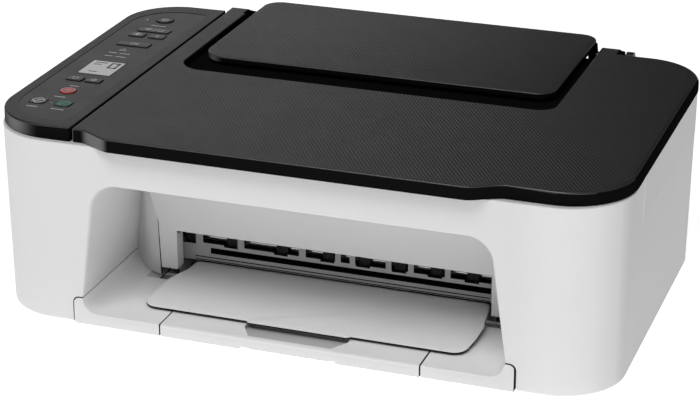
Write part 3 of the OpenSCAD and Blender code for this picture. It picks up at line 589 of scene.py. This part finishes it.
def settle(thing, body, slot, *replaced):
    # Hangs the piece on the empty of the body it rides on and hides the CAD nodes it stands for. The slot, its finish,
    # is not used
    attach(thing, body)
    if replaced:
        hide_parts(*replaced)
    return thing


# Camera, floor and lights

def make_stage():
    camera = put("camera", bpy.data.cameras.new("camera"))
    camera.data.sensor_width = 36
    camera.data.lens = 113.83
    camera.data.clip_end = 50
    camera.location = (0.472, -1.3631, 0.6542)
    camera.rotation_euler = (math.radians(67.492), 0, math.radians(19.452))
    bpy.context.scene.camera = camera
    bpy.context.scene.view_settings.view_transform = "Standard"

    size = 9000
    floor = build("floor", [(-size, -size, 0), (size, -size, 0), (size, size, 0), (-size, size, 0)], [[0, 1, 2, 3]])
    material, _, surface = shader("floor_white", (0.7, 0.7, 0.7), 0.9)
    surface.inputs["Emission Color"].default_value = (1, 1, 1, 1)
    surface.inputs["Emission Strength"].default_value = 0.86
    paint(floor, material)

    world = bpy.data.worlds.new("studio")
    bpy.context.scene.world = world
    world.use_nodes = True
    world.node_tree.nodes["Background"].inputs["Color"].default_value = (1, 1, 1, 1)
    world.node_tree.nodes["Background"].inputs["Strength"].default_value = 0.02

    middle = Vector((0, 0, 0.07))
    for name, place_at, power, width, height in (
            ("main", (-0.3, -1.3, 2.3), 31, 1.6, 1.0),
            ("left", (-1.8, -1.9, 0.9), 3, 1.0, 1.0),
            ("right", (1.3, -2.0, 1.5), 6, 1.2, 1.2),
            ("rear", (-1.5, 2.4, 1.15), 6.2, 1.9, 0.9)):
        light = put(name, bpy.data.lights.new(name, "AREA"))
        light.data.shape = "RECTANGLE"
        light.data.size = width
        light.data.size_y = height
        light.data.energy = power
        light.location = place_at
        light.rotation_euler = (middle - light.location).to_track_quat("-Z", "Y").to_euler()


make_stage()


# White casing

def right_joint(c, n):
    # On the edges of the joint between the right wall and the scanner's side strip
    return c.x > 215 and abs(n.x) < 0.97


def apron_curve(lift=0.0):
    # The hollow curve from the bay's foot down to the apron's floor, raised by lift
    return [(136 + 11 * cos, FLOOR + lift + (JOINT - FLOOR) * (1 - sin)) for cos, sin in quarter(20)]


def housing():
    # The casing's walls and base in one piece, with the bay cut through the front
    taper, rim, wall = 1.2, 2.5, 2.5
    line = casing_line()
    rings = [(LIFT + rim * (1 - cos), taper + rim * (1 - sin)) for cos, sin in quarter(6)]
    rings += [(70, taper * 0.45), (133.9, 0), (134.4, 0.5)]
    shell = loft("housing", [at_height(moved_in(line, inset), z) for z, inset in rings], white)
    notch = rounded(-154.7, 154.7, -5, JOINT + 0.6, [1, 1, 4.6, 4.6], 10)
    combine(shell, [
        prism_z("cut", moved_in(line, wall), PAN, 140),
        box("cut", (-219, -82, STRIP_FOOT), (219, 125, 140)),
        box("cut", (-160, 118, PAN), (160, 125, 140)),
        prism_y("cut", notch, -156, -147.9),
        box("cut", (-154.7, -149, -1), (154.7, -59.5, JOINT + 0.6))])
    combine(shell, [prism_y("join", bay_line(2.2, JOINT + 0.8), -149, -60),
                    box("join", (-157.5, 118, LIFT), (157.5, 155.5, PAN)),
                    box("join", (-151, -90, LIFT), (151, -59, LIFT + 0.8))], "UNION")
    edge = 3
    depths = [(-40, 0), (APRON_FRONT + edge, 0)]
    depths += [(APRON_FRONT + edge - edge * sin, edge * (1 - cos)) for cos, sin in quarter(6)[1:]] + [(-156, edge)]
    mouth = [[(x, y, z) for x, z in bay_line(grow, 20)] for y, grow in depths]
    combine(shell, [loft("cut", mouth)])
    soften(shell, 0.25, 2)
    paint(shell, white, seam_highlight)
    # Painted highlight: the edges of the joint on the right wall get the paler white
    paint_by(shell, lambda c, n: 1 if right_joint(c, n) and c.z > STRIP_FOOT - 4 else 0)
    return settle(shell, "chassis", "casing_white", "front_housing", "bay_liner", "base_pan")


def bay_cheeks():
    # The walls that curve in behind the bay's sides to the output cover, and the cover's two pivot blocks
    parts = []
    gap = 0.3
    face = smooth_line([(152, -60), (148.2, -60.7), (146.2, -61.2), (141.6, -64.5), (136.5, -69), (130.9, -72.8),
                        (125, -75.4), (119, -76.8), (112, -77.8)])
    back = [(119, -74.2), (125.5, -72.9), (132, -70.2), (138, -66.3), (142.6, -62), (144.4, -60), (148.2, -60)]
    hole = [(-122.5, 12), (131.2, 12), (132.8, 55), (146.6, 107.1), (-137.9, 107.1), (-124.1, 55)]
    for side, low in ((-1, -126.3), (1, 130.9)):
        line = (face + back)[::-1]
        under = apron_curve(gap) + [(135, FLOOR + gap), (135, 0), (165, 0), (165, JOINT + gap)]
        if side < 0:
            line, under = mirrored(line), mirrored(under)
        wall = prism_z("cheek", line, FLOOR + gap, 107.2, white)
        outside = prism_y("cut", bay_line(60, -30), -95, -45)
        combine(outside, [prism_y("cut", bay_line(1, 5), -96, -44)])
        cutters = [prism_y("cut", hole, -90, -50), outside, prism_y("cut", under[::-1], -92, -48)]
        if side > 0:
            cutters.append(bore(COVER_PIVOT, 2.3, low - 0.6, low + 5))
        combine(wall, cutters)
        parts.append(soften(wall, 0.3, 2))
        lug = box("lug", (low, -73.4, 19), (low + 4.4, -64, 30), white)
        combine(lug, [bore(COVER_PIVOT, 2.05, low - 1, low + 6)])
        parts.append(soften(lug, 0.3, 2))
    for low, high in ((-134.5, -126.2), (135.2, 136.8)):
        parts.append(soften(box("arm", (low, -69, JOINT + gap), (high, -67.5, 30), white), 0.3, 2))
    piece = join("bay_cheeks", parts)
    paint(piece, white, shade)
    # Painted shade on the faces that look toward the middle, such as the cut edges seen through the seams beside the
    # output cover
    paint_by(piece, lambda c, n: 1 if c.x * n.x < -0.8 * abs(c.x) and abs(c.x) < 147.5 else 0)
    return settle(piece, "chassis", "casing_white")


def apron_tone(c, n):
    # Painted shade on the walls of the seams, under the housing's edge and in the recesses. What faces up gets a paler
    # white as painted light from above, and one recess's floor gets a grey painted shade
    if abs(n.x) > 0.6 and (abs(c.x) > 153.4 or abs(c.x) < 91.6):
        return 1
    if abs(c.x) > 147.3 and c.z > JOINT - 3 and n.z > 0.2 and c.y > -149.9:
        return 1
    if c.y > -82.6 and (103 < -c.x < 131.6 or 111 < c.x < 131) and LIFT + 0.1 < c.z < FLOOR - 0.1:
        return 3 if c.x < -121.2 and n.z > 0.8 else 1
    return 2 if n.z > 0.1 else 0


def apron():
    # The dish in front of the bay: a left and a right part, with the tray between them
    parts = []
    outline = [(91.3, LIFT), (153.7, LIFT)] + arc(149.7, JOINT - 4, 4, 0, 90, 10) + apron_curve() + [(91.3, FLOOR)]
    ramp = [(-131.5, FLOOR + 0.01), (-121, FLOOR - 1.6), (-121, 15), (-131.5, 15)]
    for line, low, high, cutters in (
            (mirrored(outline), -151, -90.7,
             [box("cut", (-122, -82.5, 0), (-103, -59, 15)), prism_y("cut", ramp, -82.5, -59)]),
            (outline, 90.7, 151, [box("cut", (111, -80, 0), (130.8, -59, 15))])):
        block = prism_y("apron", line, APRON_FRONT, APRON_BACK, white)
        combine(block, [box("cut", (low, APRON_FRONT + 3, 0), (high, -59, FLOOR - 2.6))] + cutters)
        parts.append(soften(block, 1.3, 4))
    piece = join("apron", parts)
    paint(piece, white, shade, top_light_white, recess_shade)
    paint_by(piece, apron_tone)
    return settle(piece, "chassis", "casing_white", "output_apron")


# Black top

def lid_rim(p):
    # The radius of the lid's upper rim: it grows toward the right
    if p[0] > 0:
        return 1.1 + 2.6 * min(1, max(0, (p[0] - 150) / 60))
    return 1.1 if p[1] < -140 else 0.7


def lid():
    # A hollow plate with the support's pocket in its top and two hinge arms
    foot, arm = 134.8, 12.8
    plate = slab("lid", lid_line(), foot, TOP, top=lid_rim, foot=0.5, material=band_black, steps=7)
    deep = rounded(-135.8, 137.8, -11.2, 175, [19, 13, 1, 1], 16)
    pocket = loft("cut", [at_height(moved_in(deep, inset), z) for z, inset in (
        (POCKET_FLOOR, 0.8), (138.4, 0.3), (139.2, 0), (143.4, 0), (TOP, -0.6), (146, -0.6))])
    slope = prism_x("cut", [(-13, 146), (-11.8, TOP), (0.8, POCKET_FLOOR), (-13, 136)], -140, 140)
    combine(pocket, [slope])
    inner = prism_z("cut", lid_line(3), 133, 141)
    combine(inner, [box("cut", (-140.3, -15.2, 132), (140.3, 125, 142)),
                    box("cut", (137.8, 107, 132), (154.5, 125, 142))])
    combine(plate, [pocket, inner])
    side = [(119, foot), (119, TOP)] + arc(130, 138, 6, 90, 50, 4) + arc(*HINGE, 5.2, 84, -108, 16) + [(141, 131.4)]
    combine(plate, [prism_x("join", side[::-1], x, x + arm, band_black) for x in (-150.6, 137.8)], "UNION")
    combine(plate, [bore(HINGE, 3.02, -152, -136), bore(HINGE, 3.02, 136, 152)])
    soften(plate, 0.3, 2)
    paint(plate, band_black, top_ribbed, rim_highlight)
    # The flat top gets the ribs. The bevel along the top edge gets the paler black as a painted highlight line, except
    # along the right side
    paint_by(plate, lambda c, n: 0 if c.z < TOP - 1.5 or n.z < 0.3 or (n.x > 0.7 and c.x > 190) else
             (1 if n.z > 0.995 and c.z > TOP - 0.1 else 2))
    return settle(plate, "document_cover", "panel_black", "document_cover")


def support():
    # The folded paper support: a plate, a skirt at its back and two hinge knuckles
    plate = slab("support", rounded(-128.9, 130.5, 17, 154, [18, 13, 13, 13], 16), 140.6, SUPPORT_TOP, top=0.9,
                 foot=0.8, material=band_black)
    skirt = box("skirt", (-114, 151.6, 135), (114, 153.9, 140.9), band_black)
    parts = [soften(plate, 0), soften(skirt, 0.4, 2)]
    side = [(149, 141), (139, 141), (139, 135.6)] + arc(*HINGE, 5.2, 150, 390, 20)
    for low, high in ((-128.8, -125), (125, 130.2)):
        knuckle = prism_x("knuckle", side, low, high, band_black)
        combine(knuckle, [bore(HINGE, 3.05, low - 1, high + 1)])
        parts.append(soften(knuckle, 0.3, 2))
    piece = join("support", parts)
    paint(piece, band_black, top_ribbed, rim_highlight)
    # The flat top gets the ribs. The bevel along the top edge gets the paler black as a painted highlight line
    paint_by(piece, lambda c, n: 0 if c.z < SUPPORT_TOP - 1.1 or n.z < 0.3 else
             (1 if n.z > 0.995 and c.z > SUPPORT_TOP - 0.1 else 2))
    return settle(piece, "paper_support", "panel_black", "paper_support")


# Control panel. Each button is (name, centre, size or radius, corner)

BUTTONS = [
    ("power", (-186, 84.3), 6.5, 0),
    ("wireless", (-183.5, 59), (25, 8.5), 1.5),
    ("info", (-191.4, 46.5), (12, 8.5), 1.5),
    ("eco", (-175.6, 46.5), (12, 8.5), 1.5),
    ("copy", (-184.5, 25), (25, 8.5), 1.5),
    ("paper", (-191.6, -56.5), (12, 8), 1.5),
    ("ok", (-177.6, -56.5), (12, 8), 1.5),
    ("stop", (-185.3, -81), 5.6, 0),
    ("black", (-195.4, -105.2), (11, 11), 2.5),
    ("colour", (-176.5, -105.2), (11, 11), 2.5)]


def button_line(centre, size, corner, grow):
    # A button seen from above, made larger by grow
    if isinstance(size, tuple):
        w, h = size[0] / 2 + grow, size[1] / 2 + grow
        return rounded(centre[0] - w, centre[0] + w, centre[1] - h, centre[1] + h, [corner + grow] * 4, 6)
    return circle(*centre, size + grow, 48)


def control_panel():
    # A plate with a smooth sunken face, and holes for the buttons, the display and the lamp
    plate = slab("control_panel", panel_line(), 134.4, TOP, top=lambda p: 1.3 if p[0] < -154 else 0.7,
                 material=band_black, steps=6)
    smooth = rounded(-209.5, -160.5, -136, 107, [38, 9, 5, 33], 16)
    hollow = [(p[0] + (2.5 if p[0] < -200 else 0), p[1]) for p in smooth]
    holes = [button_line(centre, size, corner, 0.4) for _, centre, size, corner in BUTTONS]
    holes += [rounded(-197.3, -171.1, -45.1, -13.9, [1] * 4, 4), circle(*LAMP, 1.1, 24)]
    combine(plate, [prism_z("cut", hollow, 130, 141.8), slab("cut", smooth, PANEL_FACE, 150, top=0.1, foot=0.1)]
            + [prism_z("cut", hole, 139, 146) for hole in holes])
    soften(plate, 0.22, 2)
    paint(plate, band_black, top_ribbed, panel_black, rim_highlight)
    # The bevels along the top edges get the paler black as a painted highlight line. The flat top gets the ribs, and
    # the sunken face gets its smooth black
    paint_by(plate, lambda c, n: 0 if n.z < 0.3 or c.z < TOP - 1.5 else
             (3 if 0.3 < n.z < 0.9 else (1 if c.z > TOP - 0.05 else 2)))
    return settle(plate, "chassis", "panel_black", "control_panel")


# Flat marks: thin pads that start just inside the face they are on and stand a little above it

SUNK, RAISED = 0.05, 0.1


def pad(line, z, material, height=RAISED):
    return prism_z("mark", line, z - SUNK, z + height, material)


def bar(x0, y0, x1, y1, width, z, material):
    # A straight stroke from one point to another
    a, b = Vector((x0, y0)), Vector((x1, y1))
    d = (b - a).normalized() * width / 2
    s = Vector((-d.y, d.x))
    return pad([tuple(a - d - s), tuple(b + d - s), tuple(b + d + s), tuple(a - d + s)], z, material)


def ring(cx, cy, r, width, z, material, a0=0, a1=360, steps=36):
    # A flat ring, or part of one
    whole = a1 - a0 >= 360
    outer = arc(cx, cy, r, a0, a1, steps)
    inner = arc(cx, cy, r - width, a0, a1, steps)
    if whole:
        outer, inner = outer[:-1], inner[:-1]
    count = len(outer)
    points = at_height(outer + inner, z - SUNK) + at_height(outer + inner, z + RAISED)
    faces = []
    for i in range(count if whole else count - 1):
        j = (i + 1) % count
        o, n, t = i, count + i, 2 * count
        oj, nj = j, count + j
        faces += [[o + t, oj + t, nj + t, n + t], [o, n, nj, oj], [o, oj, oj + t, o + t], [n, n + t, nj + t, nj]]
    if not whole:
        e = count - 1
        t = 2 * count
        faces += [[0, t, count + t, count], [e, count + e, count + e + t, e + t]]
    return build("mark", points, faces, material)


def frame_mark(points, width, z, material):
    # A closed outline drawn with bars
    return [bar(*points[i - 1], *points[i], width, z, material) for i in range(len(points))]


def button_marks(name, centre, z):
    # A plain sign of the builder's own for each button
    x, y = centre
    if name == "power":
        return [ring(x, y, 2.4, 0.55, z, ink_white, 115, 425), bar(x, y + 0.4, x, y + 2.6, 0.55, z, ink_white),
                ring(x, y, 5.9, 0.35, z, dark)]
    if name == "wireless":
        marks = [ring(x - 5, y - 2, r, 0.5, z, ink_white, 45, 135, 12) for r in (1.6, 3, 4.4)]
        return marks + [bar(x - 0.5, y - 1.8, x + 1.3, y + 1.8, 0.5, z, ink_white)] + frame_mark(
            [(x + 3, y - 1.7), (x + 7.4, y - 1.7), (x + 7.4, y + 1.7), (x + 3, y + 1.7)], 0.5, z, ink_white)
    if name == "info":
        return [pad(circle(x, y, 1.5, 16), z, ink_white), ring(x, y, 3, 0.4, z, ink_white)]
    if name == "eco":
        return [bar(x, y - 1.8, x, y + 0.5, 0.9, z, ink_white), pad(circle(x, y + 1.9, 0.55, 12), z, ink_white)]
    if name == "copy":
        sheet = [(x - 2.4, y - 1.6), (x + 0.6, y - 1.6), (x + 0.6, y + 1.8), (x - 2.4, y + 1.8)]
        return frame_mark(sheet, 0.45, z, ink_white) + [bar(x + dx, y - 1.6, x + dx, y + 1.8, 0.45, z, ink_white)
                                                        for dx in (1.9, 2.9)]
    if name == "paper":
        sheet = [(x - 1.8, y - 1.9), (x + 1.8, y - 1.9), (x + 1.8, y + 1), (x + 0.8, y + 1.9), (x - 1.8, y + 1.9)]
        return frame_mark(sheet, 0.45, z, ink_white)
    if name == "ok":
        return [ring(x, y, 2, 0.5, z, ink_white), bar(x - 0.7, y - 0.1, x - 0.1, y - 0.7, 0.4, z, ink_white),
                bar(x - 0.1, y - 0.7, x + 0.9, y + 0.7, 0.4, z, ink_white)]
    if name == "stop":
        return [ring(x, y, 5.1, 0.5, z, ink_pink)] + frame_mark(
            [(x + 1.9, y - 2.2), (x + 1.9, y + 2.2), (x - 2.2, y)], 0.5, z, ink_pink)
    ink = ink_white if name == "black" else ink_green
    return frame_mark([(x, y - 5), (x + 5, y), (x, y + 5), (x - 5, y)], 0.75, z, ink) + [
        bar(x - 1.6, y - 1.9, x + 1.6, y + 1.9, 0.9, z, ink)]


def buttons():
    # Each button is a cap with its sign, on a wider flange under the panel
    for name, centre, size, corner in BUTTONS:
        body = "button_" + name
        finish = red if name == "stop" else button_black
        face = TOP + (0.1 if name in ("black", "colour") else 0.4)
        under = 140.8
        cap = slab("cap", button_line(centre, size, corner, 0), under, face, top=0.45, foot=0.1, material=finish,
                   steps=4)
        flange = slab("flange", button_line(centre, size, corner, 0.8), under - 1, under, top=0.1, foot=0.1,
                      material=finish)
        parts = [soften(cap, 0), soften(flange, 0)] + button_marks(name, centre, face)
        settle(join(body + "_cap", parts), body, "button_red" if name == "stop" else "button_black", body)


def display_panel():
    # The display, with a plain frame and bars on it, and the status lamp
    back, face = 141.6, 143.8
    window = slab("lcd", rounded(-197.2, -171.2, -45, -14, [1] * 4, 4), back, face, top=0.3, foot=0.1,
                  material=button_black)
    backing = box("backing", (-199, -46.5, 138.6), (-169.4, -12.5, back), button_black)
    parts = [soften(window, 0), soften(backing, 0.3, 2),
             pad(rounded(-196.2, -172, -43.8, -16.4, [0.5] * 4, 3), face, display, 0.06)]
    z = face + 0.08
    parts += frame_mark([(-180.5, -28.5), (-175.2, -28.5), (-175.2, -19), (-180.5, -19)], 1.3, z, display_mark)
    for x0, x1, y in ((-193, -185, -19.5), (-193, -188, -23.5), (-190, -184.5, -38.5)):
        parts.append(bar(x0, y, x1, y, 0.8, z, display_mark))
    settle(join("display", parts), "chassis", "display", "lcd_window")
    stem = slab("lamp_stem", circle(*LAMP, 1, 24), 141.8, TOP + 0.1, top=0.4, foot=0.05, material=lamp, steps=4)
    foot = slab("lamp_foot", circle(*LAMP, 2.5, 24), 139.8, 141.8, top=0.2, foot=0.2, material=lamp)
    settle(join("lamp", [soften(stem, 0), soften(foot, 0)]), "chassis", "lamp_lens", "status_lamp")


def panel_marks():
    # Plain bars and signs stand in for the panel's printed labels
    marks = [bar(-191, 70.8, -180, 70.8, 0.75, PANEL_FACE, ink_white)]
    marks += frame_mark([(-189.3, 10.2), (-184.3, 10.2), (-186.8, 14.2)], 0.5, PANEL_FACE, ink_white)
    for x0, x1, y in ((-194, -188.6, 3.6), (-185.6, -178.5, 3.6), (-194, -188.6, -3.6), (-185.6, -178.5, -3.6),
                      (-188.5, -182.5, -70.6), (-189, -181.5, -93.5), (-199, -191.5, -116.3),
                      (-180.5, -172, -116.3)):
        marks.append(bar(x0, y, x1, y, 0.8, PANEL_FACE, ink_white))
    marks.append(pad(circle(-185.4, -105.8, 0.5, 12), PANEL_FACE, ink_white))
    settle(join("panel_marks", marks), "chassis", "casing_white")


# Output tray

def rise(y):
    # Height of the paper plate's top, which slopes up toward the back
    return 16.8 + 5.2 * (y + 132) / 71


def paper_plate():
    # The thin sloping plate that the paper lies on, with a wavy edge and a tongue at the front
    corner = 10
    right = smooth_line([(115, -124), (115, -120), (116.4, -109), (117, -98), (117, -92), (115.6, -86), (115, -79),
                         (113.2, -66), (110, -61)])
    left = smooth_line([(-98, -60), (-101.9, -66), (-102.3, -72), (-105.5, -80), (-108.3, -86), (-111, -95),
                        (-112.4, -108), (-113, -120), (-113, -126)])
    tongue = [(-37, -130), (-36.4, -130.2), (-35.4, -131.7), (-34.6, -132),
              (34.6, -132), (35.4, -131.7), (36.4, -130.2), (37, -130)]
    rear = [(112.3, -63), (110.5, -61.9), (-98.5, -61.9), (-100.8, -63)]
    line = (arc(-103, -120, corner, 180, 270, 12) + tongue + arc(105, -120, corner, 270, 360, 12)[:-1]
            + right + rear + left[:-1])
    edge = ((2.8, 0.3), (2.7, 0), (1.6, 0), (1.5, 0.1), (1.05, 0.45), (0.7, 1), (0.42, 1.8), (0.2, 2.9), (0.06, 4.1),
            (0, 5.4))
    rings = [[(x, y, rise(p[1]) - drop) for (x, y), p in zip(moved_in(line, inset), line)] for drop, inset in edge]
    piece = soften(loft("tray_plate_fine", rings, white), 0)
    paint(piece, white, shade)
    # Painted shade on the plate's underside and the lowest part of its edge, for the dark line of shade beneath it
    paint_by(piece, lambda c, n: 1 if c.z < rise(c.y) - 1.6 else 0)
    settle(piece, "output_tray", "casing_white", "tray_plate")


def tray_tone(c, n):
    # As on the apron: painted shade on the walls of the seams, a grey painted shade on the notch's floor, and a paler
    # white on what faces up as painted light from above
    if abs(n.x) > 0.8 and abs(c.x) > TRAY_SIDE - 0.2:
        return 1
    if abs(c.x) < 36.4 and -146.4 < c.y < -126.1 and 10.3 < c.z < FLOOR - 0.7:
        return 3
    return 2 if n.z > 0.1 else 0


def tray():
    # The tray's front with its notch, its floor, and the ribs under the paper plate
    edge = 1.8
    side = [(APRON_FRONT, LIFT), (APRON_FRONT, FLOOR - edge)] + arc(APRON_FRONT + edge, FLOOR - edge, edge, 165, 90, 5)
    side += [(-124.4, FLOOR), (-124, FLOOR - 0.4), (-124, 9.8), (-127, 9.8), (-127, 6.8), (-144, 6.8), (-144, LIFT)]
    block = prism_x("tray", side, -TRAY_SIDE, TRAY_SIDE, white)
    notch = [(-29, -146.5), (29, -146.5), (36.5, -134), (36.5, -126), (-36.5, -126), (-36.5, -134)]
    combine(block, [prism_z("cut", notch, 10.4, 16),
                    prism_y("cut", [(-35, 0), (35, 0), (33, LIFT + 1.6), (-33, LIFT + 1.6)], -155, -143)])
    combine(block, [box("join", (-90.7, -125, 9.8), (90.7, -16, 11.6))], "UNION")
    parts = [soften(block, 0.5, 3)]
    for x in (-80, -40, 0, 40, 80):
        rib = prism_x("rib", [(-123, 11.5), (-64, 11.5), (-64, 19.4), (-123, 15.4)], x - 1, x + 1, white)
        parts.append(soften(rib, 0.2, 2))
    piece = join("tray_fine", parts)
    paint(piece, white, shade, top_light_white, recess_shade)
    paint_by(piece, tray_tone)
    settle(piece, "output_tray", "casing_white", "output_tray")


def exit_rollers():
    # Rubber rollers with three grooves each
    parts = []
    outer, groove = 7, 6.6
    side = [(4.6, 3.02), (4.6, 5.4), (4.1, 6.5), (3.6, 6.95)]
    for x in (-107, -75.7, -38.4, -4.2, 21.6, 47.4, 73, 99):
        profile = [(x - dx, r) for dx, r in side]
        for g in (-2.2, 0, 2.2):
            profile += [(x + g - 0.55, outer), (x + g - 0.35, groove), (x + g + 0.35, groove), (x + g + 0.55, outer)]
        profile += [(x + dx, r) for dx, r in side[::-1]]
        parts.append(soften(turn("roller", EJECT_AXIS, profile, black_rubber, 56), 0))
    settle(join("exit_rollers", parts), "eject_shaft", "roller_rubber", "eject_rollers")


def refine(node, width, material, slot, body):
    # A CAD shape that is right as it is gets rounded edges and a finish
    piece = put(node + "_fine", nodes[node].data.copy())
    paint(piece, material)
    soften(piece, width, 2)
    return settle(piece, body, slot, node)


def shadow_strips():
    # Painted shadow: thin dark strips across the foot of the exit's comb, where shade falls along a groove and a step
    for low, high, name in ((24.5, 25.1, "exit_groove_shadow"), (22.3, 22.8, "exit_step_shadow")):
        strip = box(name, (-102.5, -61.7, low), (112, -61.42, high), shade)
        settle(soften(strip, 0), "chassis", "grey_plastic")


housing()
bay_cheeks()
apron()
lid()
support()
control_panel()
buttons()
display_panel()
panel_marks()
paper_plate()
tray()
exit_rollers()

# CAD node, width of its rounded edges in millimetres, material and slot
REFINED = (
    ("scanner_frame", 0.4, white, "casing_white"),
    ("rear_cover", 0.5, white, "casing_white"),
    ("output_cover", 0.5, white, "casing_white"),
    ("output_extension", 0.3, white, "casing_white"),
    ("scanner_tub", 0.3, dark, "dark_plastic"),
    ("scan_bar", 0.5, dark, "dark_plastic"),
    ("feed_slot_cover", 0.4, dark, "dark_plastic"),
    ("paper_guide_left", 0.3, dark, "dark_plastic"),
    ("paper_guide_right", 0.3, dark, "dark_plastic"),
    ("feed_chute", 0.3, dark, "dark_plastic"),
    ("exit_chassis", 0.3, comb_grey, "grey_plastic"),
    ("carriage", 0.4, dark, "dark_plastic"),
    ("cartridge_black", 0.8, cartridge, "cartridge_plastic"),
    ("cartridge_colour", 0.8, cartridge, "cartridge_plastic"),
    ("lock_lever_black", 0.3, grey, "grey_plastic"),
    ("lock_lever_colour", 0.3, grey, "grey_plastic"),
    ("service_station", 0.5, dark, "dark_plastic"),
    ("power_supply", 0.8, dark, "dark_plastic"),
    ("power_inlet", 0.3, dark, "dark_plastic"),
    ("usb_port", 0.2, zinc, "zinc_steel"),
    ("side_frames", 0.2, zinc, "zinc_steel"),
    ("carriage_motor", 0.3, zinc, "zinc_steel"),
    ("feed_motor", 0.3, zinc, "zinc_steel"),
    ("rubber_feet", 0.6, black_rubber, "foot_rubber"),
    ("feed_roller", 0.2, black_rubber, "roller_rubber"),
    ("pinch_rollers", 0.3, black_rubber, "roller_rubber"),
    ("pickup_roller", 0.5, black_rubber, "roller_rubber"),
    ("drive_pulley", 0.15, zinc, "zinc_steel"),
    ("idler_pulley", 0.15, zinc, "zinc_steel"),
    ("platen_glass", 0.2, glass, "glass"))
BODY_OF = {node: body for body, members in frame["record"]["behaviour"]["bodies"].items() for node in members}
refined = {node: refine(node, width, material, slot, BODY_OF[node]) for node, width, material, slot in REFINED}

# Painted highlight: the edges of the scanner frame's joint on the right side get the paler white
paint(refined["scanner_frame"], white, seam_highlight)
paint_by(refined["scanner_frame"], lambda c, n: 1 if right_joint(c, n) else 0)
paint(refined["rear_cover"], white, panel_black)
paint_by(refined["rear_cover"], lambda c, n: 1 if c.z > 134.3 else 0)
# Painted shade on the comb's faces behind its front, so that its cells and slot look dark inside
paint(refined["exit_chassis"], comb_grey, shade)
paint_by(refined["exit_chassis"], lambda c, n: 1 if -61.1 < c.y < -30 and abs(c.x) < 118 and c.z > 22 else 0)
shadow_strips()
refine("lid_cushion", 0.8, foam, "cushion_white", "document_cover")

# CAD nodes that stay as they are
for node, material in (("lid_pins", steel), ("scan_rail", steel), ("eject_shaft", steel), ("carriage_rail", steel),
                       ("encoder_strip", film), ("carriage_belt", black_rubber), ("main_board", board)):
    paint(nodes[node], material)
    for face in nodes[node].data.polygons:
        face.use_smooth = True
    nodes[node].data.set_sharp_from_angle(angle=math.radians(35))
